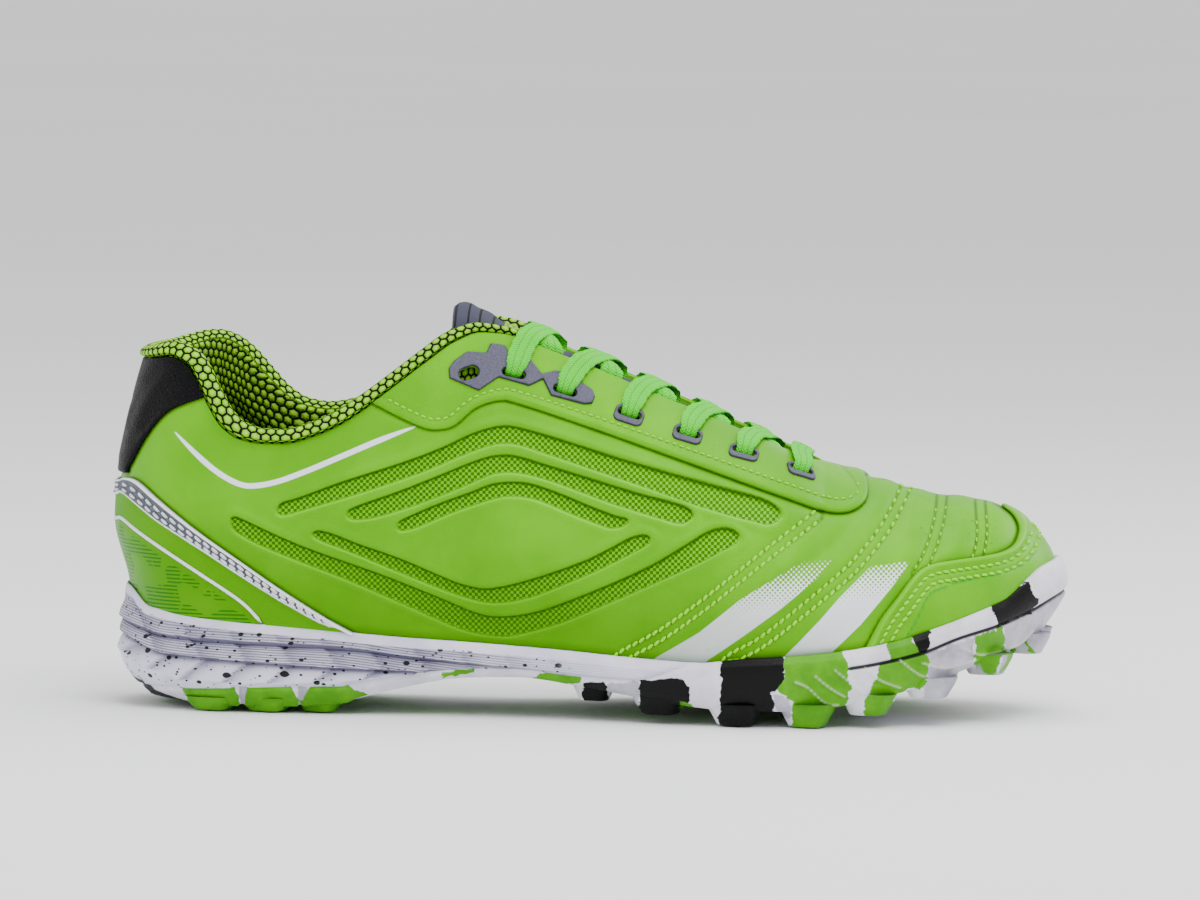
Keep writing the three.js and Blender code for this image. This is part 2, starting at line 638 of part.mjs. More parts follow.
// Point on the wall, a distance below the throat's edge, and the normal there.
function belowEdge(x, down, side, offset) {
  const u = stationUnder(x);
  const frame = upperFrame(u, 1 - down / wallLength(u, side), side);
  frame.point.addScaledVector(frame.normal, offset);
  return frame;
}

// Tongue: wings under the throat's edges and an arch between them.
const wingRows = 2;
const archRows = 5;
function tongueSolid() {
  const rows = stations
    .filter((u) => edgeX(u) > tongueBack - 0.5 && edgeX(u) < tongueFront + 0.5)
    .reverse()
    .map((u) => {
      const wing = (side) =>
        Array.from({ length: wingRows }, (_, j) => upperPoint(u, 1 - (wingRows - j) / curveCount, side));
      const free = Math.max(0, 1 - (edgeX(u) - tongueBack) / (throatRound + collarRise));
      const lift = tongueLift * Math.pow(free, 1.5);
      const arch = Array.from({ length: archRows + 1 }, (_, j) => {
        const t = j / archRows;
        const point = archPoint(u, t, 0);
        point.z += lift * Math.sin(Math.PI * t);
        return point;
      });
      return [...wing(LATERAL), ...arch, ...wing(MEDIAL).reverse()];
    });
  const top = -(wall + tongueGap);
  return between(gridSurface(rows), top - tongueThick, top);
}

// Collar: its section swept round the opening.
function collarSolid() {
  const ring = (u, side) =>
    collarSection.map(({ v, rise, depth }) => {
      const { point, along, normal } = upperFrame(u, v, side);
      const upright = new THREE.Vector3().crossVectors(normal, along).multiplyScalar(-side);
      const inside = rise > 0 ? depth : wall + collarGap + depth;
      return point.addScaledVector(upright, rise).addScaledVector(normal, -inside);
    });
  const round = stations.filter((u) => edgeX(u) < collarFront + 0.5);
  return loft([
    ...[...round].reverse().map((u) => ring(u, LATERAL)),
    ...round.slice(1).map((u) => ring(u, MEDIAL)),
  ]);
}

// Insole: the plan inside the upper, lying on the sole.
function insoleSolid() {
  const inset = featherInset + wall + 3 * gap;
  const count = 22;
  const rings = [];
  for (let i = 0; i <= count; i++) {
    const u = THREE.MathUtils.lerp(0.004, 0.996, i / count);
    const [a, b] = [planPoint(u, LATERAL, inset), planPoint(u, MEDIAL, inset)];
    const low = soleTop(a.x);
    const corners = [
      [a, low],
      [b, low],
      [b, low + insoleThick],
      [a, low + insoleThick],
    ];
    rings.push(corners.map(([p, z]) => new THREE.Vector3(p.x, p.y, z)));
  }
  return loft(rings);
}

// Sole: rings of the plan from the tread to the top edge, then the studs.
const soleStations = 30;
const insetCurves = Object.keys(soleWallAt).map((name) => ({
  at: soleWallAt[name],
  curve: column(soleWall, name, "up"),
}));
function wallInset(x, up) {
  const places = insetCurves.map(({ at, curve }) => ({ at, inset: curve(up) }));
  return column(places, "inset")(x / shoeLength) * soleHeight;
}

function soleBody() {
  const ring = ({ up }) => {
    const halfRing = (side) =>
      Array.from({ length: soleStations + 1 }, (_, i) => {
        const u = i / soleStations;
        const p = planPoint(u, side, wallInset(planPoint(u, side, 0).x, up));
        return new THREE.Vector3(p.x, p.y, THREE.MathUtils.lerp(soleTread(p.x), soleTop(p.x), up));
      });
    return [halfRing(LATERAL), halfRing(MEDIAL)];
  };
  const rings = soleWall.map(ring);
  const positions = rings.flat(2).flatMap((p) => p.toArray());
  const row = soleStations + 1;
  const indices = [];
  const quad = (a, b, c, d) => indices.push(a, b, c, a, c, d);
  for (let i = 0; i < soleStations; i++) {
    for (let k = 0; k + 1 < rings.length; k++) {
      const [a, b] = [2 * k * row + i, (2 * k + 1) * row + i];
      quad(a, a + 1, a + 1 + 2 * row, a + 2 * row);
      quad(b, b + 2 * row, b + 1 + 2 * row, b + 1);
    }
    const roof = 2 * (rings.length - 1) * row + i;
    quad(i, i + row, i + row + 1, i + 1);
    quad(roof, roof + 1, roof + row + 1, roof + row);
  }
  return solidOf(geometryOf(positions, indices));
}

function studs() {
  const made = [];
  for (const { at, count, span, size, stands } of studRows) {
    const x = at * shoeLength;
    const root = soleTread(x) + studRoot;
    const foot = stands ? 0 : soleTread(x) - studHeight;
    const reach = planHalf(at) * ballWidth * span * endShare(x, soleBack, shoeLength);
    for (let k = 0; k < count; k++) {
      const y = planCentre(at) * ballWidth + reach * ((2 * k) / (count - 1) - 1);
      const [base, tip] = [size * studBaseRadius, size * studTipRadius];
      const stud = new THREE.CylinderGeometry(base, tip, root - foot, 6, 1);
      stud.rotateX(Math.PI / 2);
      stud.translate(x, y, (root + foot) / 2);
      made.push(solidOf(stud));
    }
  }
  return made;
}

// Joint of midsole and outsole: the midsole lies above it, the outsole a gap below it.
const jointPoints = 30;
const jointLine = (drop) =>
  Array.from({ length: jointPoints + 1 }, (_, i) => {
    const x = THREE.MathUtils.lerp(-midsoleFront * 0.05, midsoleFront, i / jointPoints);
    return new THREE.Vector2(x + drop, soleJoint(x) - drop);
  });

// Eyelets
function eyeletDrill() {
  let drill = null;
  for (const side of [LATERAL, MEDIAL])
    for (const { at } of holes) {
      const { point, normal } = belowEdge(at * shoeLength, holeDown, side, 0);
      const reach = wall + overlay + trim + 4 * gap;
      const pin = new THREE.CylinderGeometry(holeRadius, holeRadius, 2 * reach, 6);
      pin.applyQuaternion(new THREE.Quaternion().setFromUnitVectors(new THREE.Vector3(0, 1, 0), normal));
      pin.translate(...point.toArray());
      drill = drill ? drill.add(solidOf(pin)) : solidOf(pin);
    }
  return drill;
}

// Lace: a flat strand from one eyelet over the throat towards the other side's next eyelet.
const laceOffset = overlay + trim + 2 * gap + laceGap + laceThick / 2;
const laceStep = laceThick / 2; // step for its direction along the shoe
// way: -1 to 0 up the wall, 0 to 1 over the arch, 1 to 2 down the other wall.
function lacePoint(x, way, side) {
  if (way < 0) return belowEdge(x, -way * holeDown, side, laceOffset).point;
  if (way > 1) return belowEdge(x, (way - 1) * holeDown, -side, laceOffset).point;
  return archPoint(stationUnder(x), side === LATERAL ? way : 1 - way, laceOffset);
}

function strand(from, to, side, ways) {
  const throatWidth = 2 * openingHalf(from) * ballWidth;
  const path = ways.map((way) => {
    const run = holeDown + (way < 0 ? way * holeDown : Math.min(way, 1) * throatWidth);
    const x = THREE.MathUtils.lerp(from, to, run / (2 * holeDown + throatWidth)) * shoeLength;
    return { x, way, point: lacePoint(x, way, side) };
  });
  const rings = path.map(({ x, way, point }, i) => {
    const [prev, next] = [path[Math.max(i - 1, 0)].point, path[Math.min(i + 1, path.length - 1)].point];
    const along = next.clone().sub(prev).normalize();
    const ahead = lacePoint(x + laceStep, way, side).sub(lacePoint(x - laceStep, way, side)).normalize();
    const normal = new THREE.Vector3().crossVectors(ahead, along).normalize();
    const across = new THREE.Vector3().crossVectors(along, normal).normalize();
    across.multiplyScalar(laceWidth / 2);
    normal.multiplyScalar(laceThick / 2);
    const corner = (a, b) => point.clone().addScaledVector(across, a).addScaledVector(normal, b);
    return [corner(-1, -1), corner(1, -1), corner(1, 1), corner(-1, 1)];
  });
  return loft(rings);
}

// Assembly
const paint = (color, roughness) => new THREE.MeshStandardMaterial({ color, roughness, metalness: 0 });
const lime = paint(0x8fd61e, 0.5);
const overlayLime = paint(0x9be22c, 0.4);
const black = paint(0x1f1c22, 0.55);
const grey = paint(0x8d8b99, 0.6);
const mesh = paint(0xb4dc78, 0.8);
const foam = paint(0xd8d6e2, 0.7);
const rubber = paint(0x7ab531, 0.6);
const cloth = paint(0x66686f, 0.8);
const lace = paint(0x84f06c, 0.7);

const drill = eyeletDrill();
const seatLine = Array.from({ length: soleStations + 1 }, (_, i) => {
  const u = i / soleStations;
  const { x } = planPoint(u, LATERAL, wallInset(planPoint(u, LATERAL, 0).x, 1));
  return new THREE.Vector2(x, seat(x, gap));
});
seatLine.unshift(new THREE.Vector2(-heelZone, seat(0, gap)));
seatLine.push(new THREE.Vector2(shoeLength + heelZone, seat(shoeLength, gap)));
const aboveSole = above(seatLine);
const shell = (inner, thickness) => between(surface, inner, inner + thickness).intersect(aboveSole);
const layer = shell(gap, overlay);
const strapLine = smoothLine(strapEdge, 12);
const counterLine = smoothLine(counterEdge, 11);
const patchLine = smoothLine(patchEdge, 10);
const eyestayLine = smoothLine(eyestayEdge, 28);
const toeCapLine = smoothLine(toeCapEdge, 18);

const shoe = new THREE.Group();
const add = (name, solid, material) => shoe.add(meshOf(name, solid, material));

add("upper", shell(-wall, wall).subtract(drill), lime);
const body = soleBody();
add("midsole", body.intersect(above(jointLine(0))), foam);
let tread = body.subtract(above(jointLine(gap)));
for (const stud of studs()) tread = tread.add(stud);
add("outsole", tread, rubber);
add("insole", insoleSolid().intersect(aboveSole), black);
add("tongue", tongueSolid(), cloth);
add("collar", collarSolid(), mesh);
add("eyestay", layer.intersect(above(eyestayLine)).subtract(drill), overlayLime);
const beyondToe = 1.2 * shoeLength;
const toeRoof = new THREE.Vector2(beyondToe, 0.6 * instepHeight);
const toeSide = [...toeCapLine, toeRoof, new THREE.Vector2(beyondToe, 0)];
add("toe_cap", layer.intersect(prism(toeSide)), overlayLime);
add("heel_patch", layer.intersect(above(shifted(patchLine, gap))), black);
add(
  "heel_strap",
  shell(gap, strapProud).intersect(below(shifted(strapLine, -gap))).intersect(above(counterLine)),
  grey,
);
add("heel_counter", layer.intersect(below(shifted(counterLine, -gap))), overlayLime);

const trimShell = shell(overlay + 2 * gap, trim).subtract(drill);
const plateShape = (side) =>
  plateOutline.map(({ at, down }) => {
    const up = edgeHeight[side](at) * instepHeight - down * holeDown;
    return new THREE.Vector2(at * shoeLength, up);
  });
const sideName = { [LATERAL]: "lateral", [MEDIAL]: "medial" };
for (const side of [LATERAL, MEDIAL]) {
  add("eyelet_plate_" + sideName[side], trimShell.intersect(prism(plateShape(side), side)), grey);
  holes
    .filter((hole) => !hole.plate)
    .forEach(({ at }, i) => {
      const { point, up, normal } = belowEdge(at * shoeLength, holeDown, side, 0);
      const tile = new THREE.BoxGeometry(loopLength, loopHeight, 4 * (overlay + trim));
      const along = new THREE.Vector3().crossVectors(up, normal);
      tile.applyMatrix4(new THREE.Matrix4().makeBasis(along, up, normal).setPosition(point));
      add("eyelet_loop_" + sideName[side] + "_" + (i + 1), trimShell.intersect(solidOf(tile)), grey);
    });
}

// Rings of a crossing strand and of the bar, along their way; the strands of the last crossing go on
// to the bar.
const crossingWays = [-1, -0.5, 0.02, 0.25, 0.48, 0.7];
const lastWays = [...crossingWays, 0.95];
const barWays = [-1, -0.45, 0.02, 0.34, 0.66, 0.98, 1.45, 2];
const laced = holes.filter((hole) => hole.laced).map((hole) => hole.at);
for (let i = 0; i + 1 < laced.length; i++) {
  const ends = [laced[i], laced[i + 1]];
  const last = i + 2 === laced.length;
  const ways = last ? lastWays : crossingWays;
  let crossing = strand(...ends, LATERAL, ways).add(strand(...ends, MEDIAL, ways));
  if (last) crossing = crossing.add(strand(ends[1], ends[1], LATERAL, barWays));
  add("lace_crossing_" + (i + 1), crossing, lace);
}

const box = new THREE.Box3().setFromObject(shoe);
const middle = box.getCenter(new THREE.Vector3());
for (const piece of shoe.children) piece.geometry.translate(-middle.x, -middle.y, -box.min.z);

export default shoe;
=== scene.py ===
"""Looks of a football shoe for artificial turf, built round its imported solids.

The shoe is modelled in its own millimetres: x from the heel to the toe, y from the lateral side
(negative) to the medial side, z up from the floor. to_row() takes points to the row frame in metres.
"""

import bpy
import numpy as np
from mathutils import Matrix, Vector


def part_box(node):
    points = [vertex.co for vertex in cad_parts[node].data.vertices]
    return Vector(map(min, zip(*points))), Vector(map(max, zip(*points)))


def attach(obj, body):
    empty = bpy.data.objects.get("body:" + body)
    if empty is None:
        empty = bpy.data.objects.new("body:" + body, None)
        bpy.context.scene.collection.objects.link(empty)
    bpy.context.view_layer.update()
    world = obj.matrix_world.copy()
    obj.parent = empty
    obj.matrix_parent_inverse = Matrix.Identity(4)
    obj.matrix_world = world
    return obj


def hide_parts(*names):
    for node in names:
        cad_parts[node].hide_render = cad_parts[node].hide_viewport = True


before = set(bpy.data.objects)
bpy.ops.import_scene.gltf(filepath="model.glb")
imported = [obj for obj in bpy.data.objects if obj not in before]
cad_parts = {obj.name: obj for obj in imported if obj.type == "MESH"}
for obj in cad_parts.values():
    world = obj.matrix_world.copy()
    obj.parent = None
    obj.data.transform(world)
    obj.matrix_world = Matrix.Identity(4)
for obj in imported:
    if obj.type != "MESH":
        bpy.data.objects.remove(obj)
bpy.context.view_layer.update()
rng = np.random.default_rng(7)

# Sizes
L, B, SH, IH = 285.0, 102.0, 31.5, 113.0
WALL, GAP = 1.8, 0.3
SOLE_BACK, HEEL_ROUND, TOE_ROUND = 1.5, 38.0, 70.0
INSET, HEEL_ZONE, LEAN, COLLAR_ROUND = 3.4, 60.0, 4.8, 28.0
VAMP, THROAT_ROUND, FAN, RIDGE = .744 * L, .049 * L, .7 * L, .878 * L
HOLE_DOWN = 13.5
HOLES = [0.381, 0.4275, 0.483, 0.5525, 0.613, 0.669, 0.722]
CORE_UPPER, CORE_SOLE = [142, 0, 40], [142, 0, 15]  # points well inside the upper and the sole
MIDSOLE_FRONT = 178.5

PLAN = np.array([
    [0, 0, .355], [.1, 0, .353], [.22, -.005, .353], [.3, -.012, .345], [.38, -.03, .333],
    [.46, -.041, .345], [.54, -.039, .392], [.6, -.029, .441], [.66, -.015, .48], [.72, .002, .498],
    [.78, .022, .493], [.84, .041, .489], [.89, .057, .474], [.93, .071, .452],
    [.96, .085, .42], [1, .098, .37]])
SOLE = np.array([
    [0, 1, .13, .1], [.03, .978, .16, .08], [.1, .892, .21, .066], [.19, .825, .245, .072],
    [.25, .783, .26, .11], [.31, .742, .35, .24], [.38, .71, .43, .36], [.44, .682, .44, .38],
    [.5, .65, .4, .32], [.56, .615, .4, .245], [.63, .592, .6, .165], [.67, .635, .62, .143],
    [.73, .675, .7, .15], [.78, .723, .75, .205], [.83, .81, .85, .3], [.88, .95, 1, .44],
    [.93, 1.115, 1.2, .61], [.965, 1.24, 1.3, .74], [1, 1.38, 1.4, .93]])
SOLE_WALL = np.array([
    [0, 10, 5, 5, 3.4, 5], [.13, 5.2, 2.6, 3.2, 1.6, 2.6], [.27, 1.9, .9, 1.8, .6, 1.2],
    [.38, .8, .6, 1.2, .2, .6], [.5, .3, .3, .8, .1, .3], [.7, .4, .2, .7, 0, 0],
    [.86, 1.8, 1.4, 1.1, .3, .2], [1, 3, 2.6, 2.4, 2, 1.6]])
SOLE_WALL_AT = [.02, .16, .42, .68, .96]
TOP = np.array([
    [.034, 0, .304, .91, .91], [.052, 0, .304, .92, .914], [.07, 0, .304, .928, .922],
    [.086, 0, .304, .911, .926], [.0965, 0, .304, .871, .924], [.105, 0, .304, .826, .917],
    [.124, 0, .305, .75, .886], [.144, 0, .306, .718, .838], [.167, 0, .308, .708, .786],
    [.191, 0, .308, .709, .755], [.217, 0, .304, .726, .746], [.248, 0, .294, .76, .759],
    [.281, 0, .278, .816, .802], [.31, 0, .262, .872, .859], [.34, 0, .242, .931, .924],
    [.365, 0, .217, .977, .974], [.39, 0, .188, 1, 1], [.411, 0, .167, .996, .998],
    [.432, 0, .15, .982, .984], [.457, 0, .137, .956, .958], [.505, 0, .127, .909, .911],
    [.568, .004, .118, .842, .844], [.62, .008, .108, .788, .789], [.683, .015, .1, .72, .72],
    [.744, .025, .09, .657, .657], [.79, .038, 0, .63, .63], [.821, .047, 0, .607, .607],
    [.853, .056, 0, .586, .586], [.878, .063, 0, .574, .574]])
CURVE = np.array([
    [0, .33, .082, .25, .056], [.08, .33, .06, .25, .045], [.2, .34, .046, .28, .035],
    [.32, .32, .036, .28, .075], [.42, .3, .034, .24, .14], [.52, .3, .04, .18, .17],
    [.64, .34, .05, .1, .2], [.74, .36, .052, 0, .22], [.86, .4, .036, 0, .21],
    [.96, .44, .02, 0, .18], [1, .46, .016, 0, .176]])

# Edges of the overlays in side elevation, millimetres.
STRAP_TOP = [(-9, 66.1), (2.3, 66.7), (6.1, 68.1), (10.4, 67.4), (17.1, 62.6), (29.6, 53.5), (41.9, 45.2),
             (53.6, 37.3), (65.6, 29.8), (73, 25.7), (88, 18)]
STRAP_LOW = [(-9, 61.8), (2, 62.2), (5.4, 63.4), (10.6, 60.5), (17.2, 56.1), (29.6, 48.8), (41.8, 41),
             (53.7, 33.8), (65.6, 27.4), (73, 24.8), (88, 15)]
COUNTER = [(-9, 54.5), (1.7, 55.2), (5.1, 56), (10.5, 53), (17.1, 49.1), (29.5, 41.6), (41.9, 33.5),
           (48.3, 27.1), (57, 18.1), (99.8, 4.5)]
PATCH = [(-9, 68.3), (4.8, 69.3), (6.7, 71.4), (11.7, 80), (16.5, 86.3), (21.2, 90), (29.6, 93.3),
         (42.8, 97.2)]
EYESTAY = [(68.4, 97.2), (80.2, 92.3), (88.5, 88.4), (96, 85.4), (100.5, 85.1), (105, 86.4), (110.9, 91.4),
           (117.8, 93.6), (123.9, 92.5), (147.9, 84.9), (177.8, 74.9), (202, 66.8), (213.7, 62.6),
           (219.5, 61.7), (223.6, 62.5), (226.4, 64.6), (227, 67.2), (226.2, 70), (223.4, 72.8), (218, 77)]
TOE_CAP = [(223.7, 14.7), (228.7, 24.5), (232.5, 31.8), (236.9, 37.7), (242.4, 44.7), (246.7, 47.1),
           (252.5, 48.1), (261.2, 49.2), (266.9, 50.2), (270.3, 51.9), (271.8, 54.9), (271.6, 57.6),
           (269.6, 60.4), (266, 62.8), (262, 65), (258, 67.8), (254, 72.5)]
PLATE = [(102.4, 102.6), (102.8, 99.8), (111.4, 96.2), (117, 100), (126, 97.4), (130, 99.2),
         (132.6, 94.6), (142.5, 92), (144.9, 92.2), (145.6, 94.2), (144.8, 96), (138, 100.3),
         (135.7, 101.3), (133.4, 101.6), (129.6, 100.8), (125.8, 105), (120, 106.1), (118.3, 109.1),
         (114.1, 109.8), (113, 107.1), (107.5, 107.5), (103.8, 104.7)]

# Sunken panels, seams and prints of the upper in side elevation.
GROOVES = [
    [(52.6, 61.2), (54, 62.9), (59.3, 64.6), (71.3, 69.2), (88.9, 75.1), (100.5, 79.6), (109.5, 83.9),
     (115.4, 85.9), (119.6, 86.5), (123.9, 86), (136.3, 82.7), (154, 77.5), (171.9, 72.8), (183.8, 69.8),
     (196, 66.8), (200.5, 64.5), (202.5, 61.8), (201, 59.4), (197.9, 58.7), (193.6, 59.9), (178.2, 63.9),
     (160.6, 69.4), (142.5, 75), (130.3, 78.8), (124.3, 80.6), (120, 81.1), (115.4, 80.5), (106.8, 77.3),
     (95.1, 72.2), (77.2, 65.9), (62.4, 61.3), (55.1, 59.1), (52.9, 59.5)],
    [(73.4, 60.1), (75.9, 62.1), (88.9, 66.9), (101, 71.9), (109.5, 75.5), (115.4, 77.5), (120, 78),
     (124.3, 77.5), (133.2, 75), (148.2, 70.8), (160.6, 67.4), (169.5, 65.4), (174.8, 63.7), (176.8, 61.4),
     (174.4, 59.2), (172, 58.9), (166.6, 60.2), (151.8, 64.3), (136.7, 69.4), (127.3, 72), (121.5, 72.7),
     (115.9, 71.9), (106.9, 67.9), (95.1, 63.1), (83.2, 59.2), (77.2, 58.1), (74.3, 58.3)],
    [(88.4, 57.2), (90.7, 58.9), (101, 63.5), (110, 66.9), (115.9, 69.3), (121.5, 70.1), (127.8, 69.7),
     (136.8, 66.9), (145.5, 63.6), (153.2, 61), (157.4, 60), (156.5, 58), (152.4, 57), (149, 57.8),
     (140, 60.9), (132.1, 64), (126.4, 65.4), (120.1, 65.6), (112.7, 63.5), (104.2, 60.4), (95.1, 56.4),
     (90.7, 55.1), (88.9, 55.2)],
    [(38.7, 57.6), (39.6, 58.4), (42.2, 57.9), (59.7, 50.3), (83.6, 42.1), (101.5, 35.3), (112, 31.2),
     (119.3, 30.2), (131.3, 32.2), (149.4, 39.6), (164, 46.6), (174, 52.7), (180.5, 56.8), (185, 58.2),
     (188.5, 57.7), (190.8, 55.5), (189.4, 53.2), (185.1, 50.9), (176.3, 46.4), (164.5, 40.9), (149.6, 34),
     (137.4, 28.6), (125.6, 25), (119.4, 24.2), (107.6, 26), (89.3, 33.6), (71.7, 40.9), (59.7, 45.3),
     (47.6, 50.1), (41, 53.6), (39.2, 55.6)],
    [(63.2, 53.6), (64.8, 54.8), (69, 54), (77, 51), (89.3, 46.9), (104.3, 40.8), (110, 39.1), (116.3, 38.5),
     (128.2, 41.4), (143.3, 47), (152, 51.4), (158, 54.7), (162, 55.7), (164.3, 54.7), (163.2, 52.6),
     (158, 49.6), (149.1, 44.9), (138, 39.9), (128.3, 36), (117.8, 34.1), (107.5, 35.9), (89.3, 42.6),
     (74.7, 48.4), (65.6, 51.7)]]
SEAMS = [
    [(155, 18), (157, 20), (167.7, 26.3), (179.6, 34.9), (190.9, 44), (202.4, 53.3), (213.2, 61.4)],
    [(187, 18), (189.9, 20.6), (197.6, 25), (209, 33.9), (220.4, 43.3), (226.1, 48.8), (231.7, 55.7),
     (235.5, 62.3), (237.4, 66.5), (238.4, 70)],
    [(243, 45), (245.1, 48.2), (247, 52.9), (248.3, 58.1), (248.8, 62.5), (248.6, 67)],
    [(260, 48), (261.1, 51.7), (261.4, 56.4), (260.9, 60.3), (260.2, 64)]]
STRIPES = [
    [(160, 14), (166.1, 19.4), (179.5, 27.6), (191.5, 37.4), (205.8, 46.3), (209, 48.5), (218.8, 48.5),
     (217.3, 47.5), (213.3, 43.3), (203.1, 34.7), (191.7, 26.3), (182.1, 19.5), (176, 14)],
    [(200, 14), (205.1, 21.5), (214.9, 31.8), (220.5, 38.2), (229.1, 46.7), (240.5, 48), (239.3, 46),
     (235.2, 40.5), (226.8, 30.4), (218.9, 22.6), (214, 14)]]
THIN_LINE = [(21, 83.4), (29.4, 75.6), (35.4, 71), (41.2, 68.1), (45.7, 67.7), (51.9, 68.9), (59.3, 71.6),
             (70.9, 76.5), (82.8, 81.7), (93.8, 86.1)]
TOE_LINE = [(238.5, 24), (239.6, 26.6), (242.7, 31.7), (245.5, 37.6), (247.5, 39.5), (251.2, 40.8)]
TOE_DASHES = [[(252.7, 41.6), (259.1, 42.8)], [(261.3, 43.4), (266.1, 43.6)], [(268, 44.3), (272.7, 45.9)],
              [(274.1, 47), (276.4, 49.2)]]
# Soft creases and swells of the worn, padded uppers: line, half width, height.
CREASES = [
    ([(218, 52), (226, 60), (229, 68)], 4.5, -.45), ([(240, 50), (241, 58), (240, 64)], 4, .4),
    ([(254, 52), (255, 58), (253, 63)], 3.5, .4), ([(228, 50), (231, 58), (231, 66)], 3.5, .35),
    ([(205, 56), (214, 66), (216, 72)], 4, .3), ([(30, 83), (40, 73), (50, 71), (62, 74)], 7, -.7),
    ([(22, 72), (34, 62), (50, 56)], 8, .7), ([(60, 79), (75, 82), (88, 88)], 5, .5),
    ([(196, 28), (206, 36), (216, 44)], 5, .45), ([(175, 27), (188, 37), (201, 47)], 5, .45),
    ([(60, 36), (80, 31), (98, 26)], 6, -.4), ([(128, 24), (146, 27), (160, 33)], 5, -.35),
    ([(252, 34), (262, 38), (274, 44)], 5, .35), ([(243, 27), (250, 38), (262, 42)], 3, -.3),
    ([(95, 56), (112, 58), (135, 56)], 6, .35)]
PATCH_FOLDS = [([(12, 84), (20, 92), (29, 95)], 1.6, -.5), ([(9, 80), (18, 95), (26, 99)], 1.7, -.4),
               ([(8, 90), (16, 100), (22, 103)], 1.8, -.35), ([(5, 74), (12, 88), (19, 101)], 2.5, .4)]

# Colour fields of the tread's side wall.
TREAD_LIME = [
    [(22.7, 7.4), (39.5, 8), (41.6, 4.7), (42, -5), (24.1, -5.7), (25.9, 3.6)],
    [(44.2, 7.8), (57.1, 8), (59.3, 4.2), (59, -4.8), (43.2, -5.1), (43.1, 3)],
    [(62.5, 7.8), (73.8, 8.7), (80.1, 5.8), (75.1, 4.2), (73.7, -4.5), (59.6, -4.8), (60.2, 3.3)],
    [(101.9, 12.5), (112.3, 14), (112.6, 13.1), (102.2, 11.6)],
    [(128.3, 11.5), (131.8, 13.4), (143.9, 13.5), (144.5, 11.4), (140.9, 10.4), (131.9, 10.1)],
    [(173.8, 7), (177.7, 6.6), (178.4, -1.1), (173, -1.3)],
    [(204.7, 24), (221.1, 24), (223.8, 18), (224.2, 11.5), (222.8, 6.7), (224.4, -3.4), (206.8, -3.4),
     (207.3, 7.6), (203.1, 11.4), (205.1, 14.4)],
    [(234, 26), (241.5, 28), (244.8, 21.6), (236.4, 19.1)],
    [(232.3, 19.2), (245.9, 22.5), (247.1, 19.5), (245.8, 11.2), (240.3, 10.8), (237, 9), (237, -3.4),
     (227.9, -3.4), (228.6, 8.5), (232.9, 16.8)],
    [(260.3, 26.3), (268.4, 29), (268.8, 21.8), (267.1, 16.6), (265, 7.3), (259.8, 7.6), (260.1, 21)]]
TREAD_BLACK = [
    [(144.5, 11.4), (151.7, 11.8), (151.8, 3), (144, 3)],
    [(162, 13.4), (175.8, 13.9), (177, 7.8), (174.8, -1.2), (161, -1.8)],
    [(186.4, 24), (204.4, 24), (205.1, 14.4), (201.4, 10.2), (203, -.5), (185.5, -.9)],
    [(241.2, 28), (247.3, 30), (247.3, 24.5), (246.2, 21.6), (244.5, 21.3)],
    [(264.4, 36), (274.8, 41), (277.7, 35.2), (276.3, 32.1), (267.5, 28.8)],
    [(240.2, 14.9), (244.6, 16), (245.8, 11.8), (241.2, 10.7)],
    [(-5, 14), (-.5, 12.9), (6.9, 9.3), (14.5, 4.6), (24, 2.2), (24, -2), (-5, -2)]]
HEEL_TIP = [(-6, 16), (.6, 13.4), (3.5, 10.2), (7.5, 8), (11.5, 7.3), (11.5, 5), (5, 5), (-6, 8)]
TREAD_GREY = [
    [(41.6, 7.7), (44.2, 7.8), (43.1, -5), (42, -5)], [(59.2, 8.1), (62.5, 7.8), (59.6, -4.8), (59, -4.8)],
    [(151.7, 11.8), (162, 12.3), (161.1, 2), (151.8, 2)],
    [(201.4, 10.2), (206.7, 9.4), (207.3, 2), (203.2, 2)],
    [(245.9, 21.6), (260.3, 26.3), (259.6, 17.2), (258, 7.7), (245.3, 2.3), (245.8, 11.2), (247.1, 18.9)],
    [(268.4, 28.7), (276.1, 32.1), (285.2, 37.6), (290, 34), (284.8, 12), (267.8, 8), (268.8, 21.8)]]
RAND_GROOVE = [(224.1, 17.7), (232.9, 19.2), (245.9, 22.2), (256, 26), (267.5, 29.1), (276.1, 32.4),
               (281.7, 35.9), (285.2, 37.9)]
TREAD_RIBS = [
    [(208.1, 13.8), (211.9, 12.1), (216.9, 7.6), (220.8, 7)], [(213.9, 15.6), (218.3, 12.1), (222.8, 9.4)],
    [(219.7, 17.4), (224.2, 13.6), (227.7, 10.3), (229.5, 9.4)], [(228.5, 18), (232.9, 14.4), (238.8, 12)],
    [(238.7, 20.3), (243.1, 16.6), (247.5, 14.7), (254.7, 14.7)],
    [(245.1, 19.3), (251.8, 17.5), (260.4, 19.5)],
    [(256.6, 23.3), (261.9, 20.9), (267.6, 21.4)], [(268.5, 21.9), (272.8, 22.9), (276.2, 26.1)]]
FOAM_CREST_A = [(-5, 27), (4.4, 25.8), (11, 24.4), (17.5, 22.9), (30, 22.1), (42, 21.5), (54, 21.1),
                (66, 20.8), (77.9, 19.8), (89.9, 18.2), (101.8, 17), (120, 15.5), (180, 12)]
FOAM_CREST_B = [(-5, 23), (4.5, 21.6), (11, 19.3), (17.6, 17.2), (30, 16.4), (42.1, 15.5), (54.1, 14.8),
                (66, 14.2), (78, 13.8), (89.9, 13.4), (110, 13.2), (180, 11)]
FOAM_CREST_C = [(-5, 18), (5.3, 15.8), (11.1, 12.7), (17.6, 10.9), (23.9, 9.2), (36.1, 8.8), (54.1, 8.9),
                (72, 9.8), (89.9, 12), (107.8, 13), (180, 10.5)]
